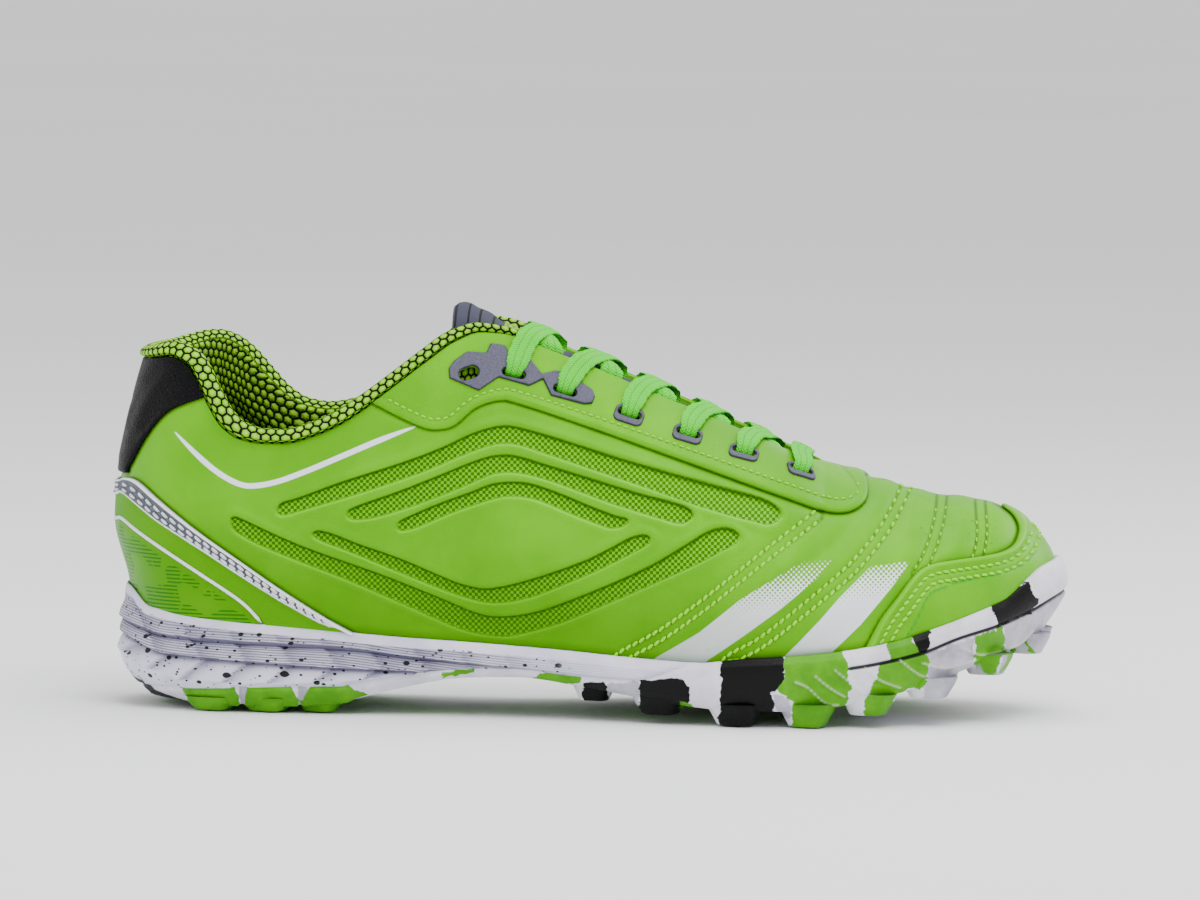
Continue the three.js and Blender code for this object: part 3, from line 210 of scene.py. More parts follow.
# Stud rows: place (share of the length), number across, share of the width, size, stands on the floor.
STUD_ROWS = [(.116, 4, .78, 1, 1), (.174, 4, .8, 1, 1), (.229, 3, .76, .9, 1),
             (.517, 3, .66, .8, 0), (.588, 4, .8, 1, 0), (.668, 5, .86, 1, 1), (.742, 5, .88, 1, 1),
             (.804, 4, .86, 1, 0), (.866, 4, .84, 1, 0), (.924, 3, .76, .95, 0), (.964, 2, .4, .85, 0)]


# Curves and surfaces
def col(table, k):
    """Monotone smooth curve through column k of a table."""
    x, y = table[:, 0], table[:, k]
    chord = np.diff(y) / np.diff(x)
    m = np.zeros(len(x))
    m[0], m[-1] = chord[0], chord[-1]
    a, b = chord[:-1], chord[1:]
    same = a * b > 0
    m[1:-1] = np.where(same, 2 * a * b / np.where(same, a + b, 1), 0)

    def curve(q):
        q = np.clip(q, x[0], x[-1])
        i = np.clip(np.searchsorted(x, q) - 1, 0, len(x) - 2)
        h = x[i + 1] - x[i]
        t = (q - x[i]) / h
        return (y[i] * (2 * t**3 - 3 * t**2 + 1) + y[i + 1] * (3 * t**2 - 2 * t**3)
                + h * m[i] * (t**3 - 2 * t**2 + t) + h * m[i + 1] * (t**3 - t**2))
    return curve


centre, half = col(PLAN, 1), col(PLAN, 2)
top_share, joint_share, tread_share = (col(SOLE, k) for k in (1, 2, 3))
slot_centre, slot_half = col(TOP, 1), col(TOP, 2)
edge_height = {-1: col(TOP, 3), 1: col(TOP, 4)}
c_rise, c_belly, c_drop, c_shoulder = (col(CURVE, k) for k in (1, 2, 3, 4))
inset_curves = [col(SOLE_WALL, k + 1) for k in range(5)]


def bezier(P, t):
    """Point at t of the cubic curve with control points P."""
    w = ((1 - t)**3, 3 * t * (1 - t)**2, 3 * t * t * (1 - t), t**3)
    return sum(w[i] * P[i] for i in range(4))


def through(a, b, c, d, t):
    """Point at t from b to c on the smooth curve through four points."""
    return .5 * (2 * b + (c - a) * t + (2 * a - 5 * b + 4 * c - d) * t * t + (3 * b - a - 3 * c + d) * t**3)


def sole_top(x):
    return top_share(x / L) * SH


def sole_joint(x):
    return joint_share(x / L) * SH


def sole_tread(x):
    return tread_share(x / L) * SH


def smooth(x, a, b):
    t = np.clip((x - a) / (b - a), 0, 1)
    return t * t * (3 - 2 * t)


def round_end(q, n):
    t = np.clip(1 - q, 0, 1)
    return (1 - t**n) ** (1 / n)


def plan_point(u, side, inset):
    back, front = SOLE_BACK + inset, L - inset
    x = back + (front - back) * (1 - np.cos(np.pi * u)) / 2
    h = half(x / L) * B - inset
    c = round_end((x - back) / HEEL_ROUND, 2.3) * round_end((front - x) / TOE_ROUND, 2.25)
    return x, centre(x / L) * B + side * h * c


def plan_normal(u, side, inset):
    e = 1e-3
    x0, y0 = plan_point(np.clip(u - e, 0, 1), side, inset)
    x1, y1 = plan_point(np.clip(u + e, 0, 1), side, inset)
    dx, dy = x1 - x0, y1 - y0
    n = np.hypot(dx, dy)
    nx, ny = -dy * side / n, dx * side / n
    nx = np.where(u < e, -1, np.where(u > 1 - e, 1, nx))
    ny = np.where((u < e) | (u > 1 - e), 0, ny)
    return nx, ny


def top_x(x):
    back, front = SOLE_BACK + INSET, L - INSET
    lo = x + LEAN * np.clip(1 - (x - back) / (HEEL_ZONE - back), 0, 1) ** 2
    hi = FAN + (RIDGE - FAN) * np.sin(np.clip((x - FAN) / (front - FAN), 0, 1) * np.pi / 2)
    return np.where(x > FAN, hi, np.where(x < HEEL_ZONE, lo, x))


def pick(curves, side, q):
    return np.where(side < 0, curves[-1](q), curves[1](q))


def throat(tx):
    return np.where(tx >= VAMP, 0, round_end((VAMP - tx) / THROAT_ROUND, 2))


EASE = [(d, np.cos(d / 17 * np.pi / 2)**2 / 8.5) for d in np.arange(-16, 17)]


def upper(u, v, side):
    """Outer surface of the upper: v from the feather edge to the top edge."""
    u, v, side = np.broadcast_arrays(np.asarray(u, float), np.asarray(v, float), np.asarray(side, float))
    fx, fy = plan_point(u, side, INSET)
    ox, oy = plan_normal(u, side, INSET)
    sh = fx / L
    fz = sole_top(fx) - GAP
    tx = top_x(fx)
    h = slot_half(tx / L) * B * round_end((tx - (SOLE_BACK + INSET + LEAN)) / COLLAR_ROUND, 2.2)
    eased = np.where(tx > VAMP - 45, sum(w * throat(tx + 1.0 * d) for d, w in EASE) / 2, 1)
    mid = slot_centre(tx / L) * B
    ty, sy, tz = mid + side * h * throat(tx), mid + side * h * eased, pick(edge_height, side, tx / L) * IH
    H = tz - fz
    b, s = c_belly(sh) * B, c_shoulder(sh) * B
    slope = tz - pick(edge_height, side, (tx - 1) / L) * IH
    lean = smooth(tx, VAMP - THROAT_ROUND, VAMP) * slope * ox * s - c_drop(sh) * H
    P = ((fx, fy, fz), (fx + ox * b, fy + oy * b, fz + c_rise(sh) * H), (tx + ox * s, sy + oy * s, tz + lean),
         (tx, ty, tz))
    x, y, z = (bezier([q[k] for q in P], v) for k in range(3))
    swell = 2.5 * np.exp(-((x - 266) / 11)**2) * smooth(z, 44, 60)
    tuck = 2.8 * smooth(z, 56, 38) * smooth(x, 24, 3)
    return np.stack([x + .4 * swell + tuck, y, z + .9 * swell], -1)


def unit(a):
    return a / np.maximum(np.linalg.norm(a, axis=-1, keepdims=True), 1e-12)


def uframe(u, v, side):
    """Point, upward direction along the wall, direction along the shoe and outward normal."""
    e = 1e-3
    p = upper(u, v, side)
    up = unit(p - upper(u, np.asarray(v) - e, side))
    u = np.asarray(u)
    along = unit(upper(np.minimum(u + e, 1), v, side) - upper(np.maximum(u - e, 0), v, side))
    n = unit(np.cross(along, up) * (-np.asarray(side, float))[..., None])
    return p, up, along, n


U_TABLE = np.linspace(0, 1, 4001)
X_TABLE = top_x(plan_point(U_TABLE, -1, INSET)[0])


def station_under(x):
    """u whose top edge lies at x."""
    return np.interp(x, X_TABLE, U_TABLE)


def wall_length(u, side):
    p = upper(np.asarray(u)[..., None], np.linspace(0, 1, 25), np.asarray(side)[..., None])
    return np.linalg.norm(np.diff(p, axis=-2), axis=-1).sum(-1)


def below_edge(x, down, side):
    u = station_under(x)
    return uframe(u, 1 - down / wall_length(u, side), side)


def arch(u, t, offset):
    """Arch over the throat, t from the lateral (0) to the medial edge (1)."""
    a, ua, _, na = uframe(u, np.ones_like(u), -np.ones_like(u))
    b, ub, _, nb = uframe(u, np.ones_like(u), np.ones_like(u))
    offset = np.asarray(offset, float)[..., None] if np.ndim(offset) else offset
    a, b = a + na * offset, b + nb * offset
    reach = .2 * np.linalg.norm(a - b, axis=-1, keepdims=True)
    return bezier((a, a + ua * reach, b + ub * reach, b), np.asarray(t, float)[..., None])


# Plane figures
def spline(pts, n=6, closed=False):
    p = np.array(pts, float)
    k = len(p)
    out = []
    for i in range(k if closed else k - 1):
        a, b, c, d = (p[(i + j) % k] if closed else p[min(max(i + j, 0), k - 1)] for j in (-1, 0, 1, 2))
        for t in np.arange(n) / n:
            out.append(through(a, b, c, d, t))
    if not closed:
        out.append(p[-1])
    return np.array(out)


def line_dist(x, z, line):
    """Distance to a line, and the length along it of the nearest point."""
    best, where, run = np.full(x.shape, 1e9), np.zeros(x.shape), 0.0
    for a, b in zip(line[:-1], line[1:]):
        d = b - a
        length = np.hypot(*d)
        t = np.clip(((x - a[0]) * d[0] + (z - a[1]) * d[1]) / max(length**2, 1e-9), 0, 1)
        r = np.hypot(x - a[0] - t * d[0], z - a[1] - t * d[1])
        near = r < best
        best = np.where(near, r, best)
        where = np.where(near, run + t * length, where)
        run += length
    return best, where


def field(x, z, outline):
    """Signed distance to a closed outline, negative inside."""
    p = np.array(outline, float)
    d, _ = line_dist(x, z, np.vstack([p, p[:1]]))
    inside = np.zeros(x.shape, bool)
    for a, b in zip(p, np.roll(p, -1, 0)):
        if a[1] != b[1]:
            crosses = (a[1] > z) != (b[1] > z)
            inside ^= crosses & (x < a[0] + (z - a[1]) * (b[0] - a[0]) / (b[1] - a[1]))
    return np.where(inside, -d, d)


def fields(x, z, outlines):
    """Signed distance to the nearest of several outlines."""
    best = np.full(x.shape, 99.0)
    for o in outlines:
        o = np.array(o)
        lo, hi = o.min(0) - 6, o.max(0) + 6
        near = (x > lo[0]) & (x < hi[0]) & (z > lo[1]) & (z < hi[1])
        if near.any():
            best[near] = np.minimum(best[near], field(x[near], z[near], o))
    return best


def roofed(line):
    """Area from a line up to well above the shoe."""
    p = spline(line)
    return np.vstack([p, [[p[-1, 0], 240], [p[0, 0], 240]]])


STRAP_TOP_LINE, STRAP_LOW_LINE, COUNTER_LINE = spline(STRAP_TOP), spline(STRAP_LOW), spline(COUNTER)
PATCH_AREA, EYESTAY_AREA = roofed(PATCH), roofed(EYESTAY)
STRAP_AREA = np.vstack([STRAP_TOP_LINE, COUNTER_LINE[::-1]])
UNDER_BAND = np.vstack([STRAP_LOW_LINE, [[88, -30], [-9, -30]]])
COUNTER_AREA = np.vstack([COUNTER_LINE, [[99.8, -20], [-9, -20]]])
TOE_AREA = np.vstack([spline(TOE_CAP), [[342, 72.5], [342, -20], [223.7, -20]]])
GROOVE_AREAS = [spline(g, 4, True) for g in GROOVES]
SEAM_LINES = [spline(a) for a in SEAMS]


# Meshes
def to_row(p):
    return (np.asarray(p, float) - [MX, MY, 0]) / 1000


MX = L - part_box("outsole")[1][0] * 1000
u_all = np.linspace(0, 1, 2001)
MY = float(plan_point(u_all, 1, 0)[1].max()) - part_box("outsole")[1][1] * 1000


def grid_tris(nr, nc, closed_rows=False, closed_cols=False):
    i = np.arange(nr if closed_rows else nr - 1)[:, None]
    j = np.arange(nc if closed_cols else nc - 1)[None]
    a, b = i * nc + j, i * nc + (j + 1) % nc
    c, d = ((i + 1) % nr) * nc + (j + 1) % nc, ((i + 1) % nr) * nc + j
    return np.stack([np.stack([a, b, c], -1), np.stack([a, c, d], -1)], 2).reshape(-1, 3)


def weld(P, T, tol=2e-3):
    key = np.round(P / tol + .37).astype(np.int64)
    _, first, inv = np.unique(key, axis=0, return_index=True, return_inverse=True)
    T = inv.ravel()[T]
    ok = (T[:, 0] != T[:, 1]) & (T[:, 1] != T[:, 2]) & (T[:, 0] != T[:, 2])
    return first, T[ok]


def fan(start, count, turned=False):
    """Triangles that close a ring of count points."""
    rim = range(start + 1, start + count - 1)
    return [(start, j + 1, j) if turned else (start, j, j + 1) for j in rim]


def border_wall(T, n):
    """Triangles between the border of an open sheet and that of its copy, n points further on."""
    edges = np.vstack([T[:, [0, 1]], T[:, [1, 2]], T[:, [2, 0]]])
    _, first, count = np.unique(np.sort(edges, 1), axis=0, return_index=True, return_counts=True)
    a, b = edges[first[count == 1]].T
    return np.vstack([np.stack([b, a, a + n], 1), np.stack([b, a + n, b + n], 1)])


def normals_of(P, T):
    f = np.cross(P[T[:, 1]] - P[T[:, 0]], P[T[:, 2]] - P[T[:, 0]])
    N = np.zeros_like(P)
    for k in range(3):
        np.add.at(N, T[:, k], f)
    return unit(N)


def make(name, P, T, mat, replaces=(), slot=None, attrs=None, padded=None):
    me = bpy.data.meshes.new(name)
    n, m = len(P), len(T)
    me.vertices.add(n)
    me.vertices.foreach_set("co", to_row(P).astype(np.float32).ravel())
    me.loops.add(3 * m)
    me.loops.foreach_set("vertex_index", np.ascontiguousarray(T, dtype=np.int32).ravel())
    me.polygons.add(m)
    me.polygons.foreach_set("loop_start", np.arange(0, 3 * m, 3, dtype=np.int32))
    me.polygons.foreach_set("use_smooth", np.full(m, True))
    me.update(calc_edges=True)
    for key, values in (attrs or {}).items():
        values = np.asarray(values, np.float32)
        if values.ndim == 2:
            me.attributes.new(key, "FLOAT_VECTOR", "POINT").data.foreach_set("vector", values.ravel())
        else:
            me.attributes.new(key, "FLOAT", "POINT").data.foreach_set("value", values)
    me.materials.append(mat)
    o = bpy.data.objects.new(name, me)
    bpy.context.scene.collection.objects.link(o)
    if replaces:
        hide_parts(*replaces)
    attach(o, "root")
    return o


def split(X, T, s, level):
    """Triangles cut along the line where s equals level; X holds every point's columns."""
    d = s - level
    d = np.where(np.abs(d) < 1e-4, 1e-4, d)
    pos = d > 0
    k = pos[T].sum(1)
    cross = (k == 1) | (k == 2)
    out, cache, new, news, n = [], {}, [], [], len(X)

    def mid(a, b):
        key = (a, b) if a < b else (b, a)
        if key not in cache:
            t = d[a] / (d[a] - d[b])
            cache[key] = n + len(new)
            new.append(X[a] + t * (X[b] - X[a]))
            news.append(level)
        return cache[key]

    for tri in T[cross].tolist():
        g = [pos[q] for q in tri]
        o = 0 if g[0] != g[1] and g[0] != g[2] else (1 if g[1] != g[0] and g[1] != g[2] else 2)
        a, b, c = tri[o], tri[(o + 1) % 3], tri[(o + 2) % 3]
        ab, ac = mid(a, b), mid(a, c)
        out += [(a, ab, ac), (ab, b, c), (ab, c, ac)]
    if new:
        X, s = np.vstack([X, np.array(new)]), np.concatenate([s, news])
        T = np.vstack([T[~cross], np.array(out)])
    return X, T, s


def shell(X, T, s, bottom, height, rim, relief=None):
    """Closed shell over the part of a surface where s is negative, with a rounded rim."""
    for level in (0, -.3 * rim, -rim):
        X, T, s = split(X, T, s, level)
    T = T[(s[T].max(1) <= 1e-6) & (s[T].min(1) < -1e-5)]
    used, inv = np.unique(T, return_inverse=True)
    T, X, s = inv.reshape(-1, 3), X[used], s[used]
    q = np.clip(-s / rim, 0, 1)
    h = height * (.3 + .7 * np.sqrt(1 - (1 - q)**2))
    if relief is not None:
        h = h + relief(X, s)
    P, N, n = X[:, :3], X[:, 3:6], len(X)
    points = np.vstack([P + N * (bottom + h)[:, None], P + N * bottom])
    tris = np.vstack([T, T[:, ::-1] + n, border_wall(T, n)])
    return points, tris, np.vstack([X, X]), np.concatenate([s, s])


# The upper's surface as one welded ring of columns, from the toe over the lateral side, the heel and
# the medial side: columns of X are point, normal, u, v, side.
NU, NV = 340, 124


def ring_surface(nu, nv):
    us = np.linspace(0, 1, nu + 1)
    u = np.concatenate([us[::-1], us[1:-1]])
    side = np.concatenate([-np.ones(nu + 1), np.ones(nu - 1)])
    v = np.linspace(0, 1, nv + 1)
    P = upper(u[:, None], v[None], side[:, None]).reshape(-1, 3)
    T = grid_tris(2 * nu, nv + 1, closed_rows=True)
    rest = np.stack(np.broadcast_arrays(u[:, None], v[None], side[:, None]), -1).reshape(-1, 3)
    first, T = weld(P, T)
    P, rest = P[first], rest[first]
    N = normals_of(P, T)
    if ((P - CORE_UPPER) * N).sum() < 0:
        N, T = -N, T[:, ::-1]
    return np.hstack([P, N, rest]), T


BASE, BASE_T = ring_surface(NU, NV)
X_, Z_ = BASE[:, 0], BASE[:, 2]


def patch(x0, x1, v0, side, nu, nv):
    """A finer piece of the same surface under the throat's edge."""
    u = np.linspace(station_under(x0), station_under(x1), nu)
    v = np.linspace(v0, 1, nv)
    p, _, _, n = uframe(u[:, None] + 0 * v, v + 0 * u[:, None], side + 0 * (u[:, None] + v))
    rest = np.stack(np.broadcast_arrays(u[:, None], v[None], float(side)), -1)
    X = np.concatenate([p, n, rest], -1).reshape(-1, 9)
    T = grid_tris(nu, nv)
    if (normals_of(X[:, :3], T) * X[:, 3:6]).sum() < 0:
        T = T[:, ::-1]
    return X, T


def eyelet_frame(at, side):
    p, _, along, n = below_edge(np.array(at * L), HOLE_DOWN, np.array(float(side)))
    return p, unit(np.cross(n, along)) * -side, along, n


FRAMES = {side: [eyelet_frame(at, side) for at in HOLES] for side in (-1, 1)}


def slot_field(X):
    """Signed distance to the lace slots, along the surface, negative inside a slot."""
    best = np.full(len(X), 99.0)
    for side in (-1, 1):
        for i, (p, up, along, _) in enumerate(FRAMES[side]):
            long, radius = (1.2, 1.8) if i == 0 else (2.3, 1.25)
            d = X[:, :3] - p
            a, b = d @ along, d @ up
            near = np.linalg.norm(d, axis=1) < 12
            r = np.hypot(np.maximum(np.abs(a) - long, 0), b) - radius
            best = np.where(near, np.minimum(best, r), best)
    return best


# Where a point of the side elevation lies on the upper.
LOCATE = {}
for side_ in (-1, 1):
    uu, vv = np.meshgrid(np.linspace(.002, .998, 300), np.linspace(.01, .999, 90), indexing="ij")
    LOCATE[side_] = (uu.ravel(), vv.ravel(), upper(uu, vv, side_).reshape(-1, 3))


def locate(x, z, side):
    """Point and outward normal on the upper for points of the side elevation."""
    U, V, P = LOCATE[side]
    k = np.array([np.argmin((P[:, 0] - a)**2 + (P[:, 2] - b)**2) for a, b in zip(x, z)])
    u, v = U[k], V[k]
    for _ in range(4):
        e = 1e-3
        p = upper(u, v, side)
        pu, pv = (upper(u + e, v, side) - p) / e, (upper(u, v + e, side) - p) / e
        det = pu[:, 0] * pv[:, 2] - pu[:, 2] * pv[:, 0]
        rx, rz = x - p[:, 0], z - p[:, 2]
        ok = np.abs(det) > 500
        det = np.where(ok, det, 1)
        du = np.clip((rx * pv[:, 2] - rz * pv[:, 0]) / det, -.01, .01)
        dv = np.clip((pu[:, 0] * rz - pu[:, 2] * rx) / det, -.02, .02)
        u, v = np.clip(u + np.where(ok, du, 0), .001, .998), np.clip(v + np.where(ok, dv, 0), 0, .998)
    p, _, _, n = uframe(u, v, np.full(len(u), float(side)))
    return p, n


def walk(line, pitch):
    """Points and directions at an even pitch along a plane line."""
    line = np.array(line, float)
    run = np.concatenate([[0], np.cumsum(np.hypot(*np.diff(line, axis=0).T))])
    s = np.arange(pitch / 2, run[-1], pitch)
    at = lambda q: np.stack([np.interp(q, run, line[:, 0]), np.interp(q, run, line[:, 1])], -1)
    return at(s), at(s + .3) - at(s - .3)


def beside(line, distance):
    """A plane line moved to its left."""
    line = np.array(line, float)
    d = unit(np.gradient(line, axis=0))
    return line + np.stack([-d[:, 1], d[:, 0]], -1) * distance


def capsules(C, D, N, length, radius, sides=6):
    """One mesh of many small stitches: centre, direction and normal of each."""
    D = unit(D - (D * N).sum(-1, keepdims=True) * N)
    S = np.cross(N, D)
    t = np.array([-1, -.82, -.3, .3, .82, 1]) * length / 2
    r = np.array([0, .75, 1, 1, .75, 0]) * radius
    lift = np.array([-.7, .1, .5, .5, .1, -.7]) * radius
    a = np.arange(sides) * 2 * np.pi / sides
    P = (C[:, None, None] + D[:, None, None] * t[:, None, None]
         + S[:, None, None] * (r[:, None] * np.cos(a))[..., None]
         + N[:, None, None] * (lift[:, None] + r[:, None] * np.sin(a))[..., None])
    one = grid_tris(len(t), sides, closed_cols=True)
    n = len(t) * sides
    T = (one[None] + (np.arange(len(C)) * n)[:, None, None]).reshape(-1, 3)
    P = P.reshape(-1, 3)
    first, T = weld(P, T, 1e-4)
    return P[first], T


def stitch_rows(rows, lift, length, radius):
    """Stitches along plane lines on both sides of the shoe: rows of (line, pitch, lean in degrees)."""
    Cs, Ds, Ns = [], [], []
    for line, pitch, lean in rows:
        c, d = walk(line, pitch)
        c_, s_ = np.cos(np.radians(lean)), np.sin(np.radians(lean))
        d = np.stack([d[:, 0] * c_ - d[:, 1] * s_, d[:, 0] * s_ + d[:, 1] * c_], -1)
        for side in (-1, 1):
            p, n = locate(c[:, 0], c[:, 1], side)
            q, _ = locate(c[:, 0] + .4 * unit(d)[:, 0], c[:, 1] + .4 * unit(d)[:, 1], side)
            Cs.append(p + n * lift)
            Ds.append(q - p + 1e-6)
            Ns.append(n)
    return capsules(np.vstack(Cs), np.vstack(Ds), np.vstack(Ns), length, radius)


def tube(path, normal, width, height, sides=10):
    """Rounded bead along a path."""
    d = unit(np.gradient(path, axis=0))
    s = np.cross(normal, d)
    a = np.arange(sides) * 2 * np.pi / sides
    w = np.ones(len(path))
    w[0] = w[-1] = .05
    P = (path[:, None] + s[:, None] * (np.cos(a) * width / 2 * w[:, None])[..., None]
         + normal[:, None] * (np.sin(a) * height / 2 * w[:, None])[..., None])
    T = grid_tris(len(path), sides, closed_cols=True)
    caps = fan(0, sides, True) + fan((len(path) - 1) * sides, sides)
    return P.reshape(-1, 3), np.vstack([T, caps])


def join(parts):
    P, T, n = [], [], 0
    for p, t in parts:
        P.append(p)
        T.append(t + n)
        n += len(p)
    return np.vstack(P), np.vstack(T)


# Materials
def rgb(r, g, b):
    c = np.array([r, g, b]) / 255
    return (*np.where(c <= .04045, c / 12.92, ((c + .055) / 1.055)**2.4), 1)


class Look:
    """A procedural material; numbers or sockets go into every helper."""

    def __init__(self, name, rough=.5, sheen=0.0, spec=.5, tint=None):
        self.mat = bpy.data.materials.new(name)
        self.mat.use_nodes = True
        self.nt = self.mat.node_tree
        self.out = self.nt.nodes["Principled BSDF"]
        self.out.inputs["Roughness"].default_value = rough
        self.out.inputs["Sheen Weight"].default_value = sheen
        self.out.inputs["Specular IOR Level"].default_value = spec
        if tint:
            self.out.inputs["Specular Tint"].default_value = tint
        place = self.node("ShaderNodeTexCoord").outputs["Object"]
        self.mm = self.vec("SCALE", place, scale=1000.0)
        xyz = self.node("ShaderNodeSeparateXYZ")
        self.put(xyz.inputs[0], self.mm)
        self.x, self.y, self.z = xyz.outputs

    def node(self, kind, **props):
        n = self.nt.nodes.new(kind)
        for k, v in props.items():
            setattr(n, k, v)
        return n

    def put(self, socket, value):
        if isinstance(value, bpy.types.NodeSocket):
            self.nt.links.new(value, socket)
        else:
            socket.default_value = value

    def vec(self, op, a, b=None, scale=None):
        n = self.node("ShaderNodeVectorMath", operation=op)
        self.put(n.inputs[0], a)
        if b is not None:
            self.put(n.inputs[1], b)
        if scale is not None:
            n.inputs["Scale"].default_value = scale
        return n.outputs["Value"] if op in ("DOT_PRODUCT", "LENGTH", "DISTANCE") else n.outputs["Vector"]

    def math(self, op, *args):
        n = self.node("ShaderNodeMath", operation=op)
        for i, a in enumerate(args):
            self.put(n.inputs[i], a)
        return n.outputs[0]

    def ramp(self, value, a, b, lo=0.0, hi=1.0):
        """Smooth step of value from a to b."""
        n = self.node("ShaderNodeMapRange", interpolation_type="SMOOTHSTEP")
        for i, v in enumerate((value, a, b, lo, hi)):
            self.put(n.inputs[i], v)
        return n.outputs[0]

    def attr(self, name, vector=False):
        n = self.node("ShaderNodeAttribute", attribute_name=name)
        return n.outputs["Vector" if vector else "Fac"]

    def mix(self, fac, a, b):
        n = self.node("ShaderNodeMix", data_type="RGBA")
        self.put(n.inputs[0], fac)
        self.put(n.inputs[6], a)
        self.put(n.inputs[7], b)
        return n.outputs[2]

    def noise(self, scale, detail=2.0, rough=.5, vector=None):
        n = self.node("ShaderNodeTexNoise")
        self.put(n.inputs["Vector"], self.mm if vector is None else vector)
        n.inputs["Scale"].default_value = scale
        n.inputs["Detail"].default_value = detail
        n.inputs["Roughness"].default_value = rough
        return n.outputs["Fac"]

    def cells(self, scale, feature="F1", vector=None):
        n = self.node("ShaderNodeTexVoronoi", feature=feature)
        self.put(n.inputs["Vector"], self.mm if vector is None else vector)
        n.inputs["Scale"].default_value = scale
        return n

    def stretch(self, sx, sy, sz):
        return self.vec("MULTIPLY", self.mm, (sx, sy, sz))

    def lattice(self, a, b, s):
        """Staggered dots: 1 on a dot, -1 between dots."""
        k = 2 * np.pi / s
        return self.math("MULTIPLY", self.math("COSINE", self.math("MULTIPLY", a, k)),
                         self.math("COSINE", self.math("MULTIPLY", b, k)))

    def bump(self, height, mm):
        n = self.node("ShaderNodeBump")
        n.inputs["Strength"].default_value = 1
        n.inputs["Distance"].default_value = mm / 1000
        self.put(n.inputs["Height"], height)
        return n.outputs[0]

    def done(self, color, rough, normal=None):
        self.put(self.out.inputs["Base Color"], color)
        self.put(self.out.inputs["Roughness"], rough)
        if normal is not None:
            self.put(self.out.inputs["Normal"], normal)
        return self.mat


LIME_DEEP, LIME_DARK, WHITE = rgb(66, 116, 0), rgb(34, 70, 0), rgb(236, 235, 246)
GLOSS = rgb(150, 255, 20)


def lime_skin(m, dirt=.12):
    """Lime synthetic leather: soft patches of tone and a fine grain."""
    tone = m.noise(.035, 3, .55)
    color = m.mix(m.ramp(tone, .35, .68), rgb(84, 160, 0), rgb(96, 174, 0))
    dust = m.noise(.11, 5, .65)
    color = m.mix(m.math("MULTIPLY", m.ramp(dust, .58, .8), dirt), color, rgb(60, 116, 2))
    grain = m.noise(2.4, 3, .6)
    pores = m.cells(1.5, "SMOOTH_F1").outputs["Distance"]
    return color, m.math("ADD", m.math("MULTIPLY", grain, .6), m.math("MULTIPLY", pores, .4)), dust


def look_upper():
    m = Look("upper_skin", .42, spec=.4, tint=GLOSS)
    color, grain, dust = lime_skin(m)
    g, w, fade = m.attr("groove"), m.attr("stripe"), m.attr("fade")
    inside = m.ramp(g, .12, -.25)
    dots = m.lattice(m.x, m.z, 1.78)
    dot = m.ramp(dots, -.42, .22)
    floor = m.mix(dot, rgb(44, 100, 0), rgb(104, 184, 4))
    color = m.mix(m.math("MULTIPLY", inside, m.ramp(g, -.15, -.7, .35, 1)), color, floor)
    # stripes: white, with dots of the ground colour that grow towards the top
    screen = m.lattice(m.x, m.z, 1.5)
    hole = m.ramp(screen, m.math("SUBTRACT", 1.02, m.math("MULTIPLY", fade, 1.75)),
                  m.math("SUBTRACT", 1.12, m.math("MULTIPLY", fade, 1.62)))
    print_ = m.math("MULTIPLY", m.ramp(w, .14, -.14), m.math("SUBTRACT", 1.0, hole))
    print_ = m.math("MULTIPLY", print_, m.math("SUBTRACT", 1.0, m.ramp(fade, .93, 1.02)))
    worn = m.ramp(m.noise(.9, 4, .7), .3, .42, .82, 1)
    color = m.mix(m.math("MULTIPLY", m.math("MULTIPLY", m.ramp(w, .14, -.14), m.ramp(fade, .02, .3)), .35),
                  color, rgb(96, 156, 24))
    color = m.mix(m.math("MULTIPLY", print_, worn), color, WHITE)
    color = m.mix(m.ramp(m.attr("line"), .14, -.14), color, WHITE)
    # shade in seams and beside raised edges
    color = m.mix(m.ramp(m.attr("seam"), .8, .1, 0, .7), color, LIME_DARK)
    # painted highlight just outside the lower edge of each sunken panel, and painted shade just inside its
    # upper edge
    top = m.attr("tilt")
    crest, flank = (m.math("ABSOLUTE", m.math("ADD", g, shift)) for shift in (-.35, .3))
    lit = m.math("MULTIPLY", m.ramp(crest, .5, .05), m.ramp(top, -.2, -.9))
    dim = m.math("MULTIPLY", m.ramp(flank, .6, .05), m.ramp(top, .1, .8))
    color = m.mix(m.math("MULTIPLY", lit, .5), color, rgb(132, 206, 30))
    color = m.mix(m.math("MULTIPLY", dim, .85), color, rgb(24, 62, 0))
    # painted shade on the upper beside the overlays' edges
    color = m.mix(m.ramp(m.attr("edge"), .9, .05, 0, .7), color, rgb(24, 60, 0))
    color = m.mix(m.ramp(m.attr("pins"), .5, .8, 0, .55), color, rgb(50, 84, 8))
    # painted shade: darker close to the sole, and over the lower rear of the upper
    color = m.mix(m.ramp(m.attr("foot"), 3.0, 0.0, 0, .4), color, rgb(40, 74, 0))
    low = m.math("MULTIPLY", m.ramp(m.attr("foot"), 36.0, 0.0, 0, .5), m.ramp(m.x, 120.0, 20.0))
    color = m.mix(low, color, rgb(40, 92, 0))
    height = m.math("ADD", m.math("MULTIPLY", grain, .25),
                    m.math("MULTIPLY", m.math("MULTIPLY", inside, dot), 1.0))
    rough = m.ramp(dust, .3, .8, .36, .52)
    return m.done(color, rough, m.bump(height, .35))


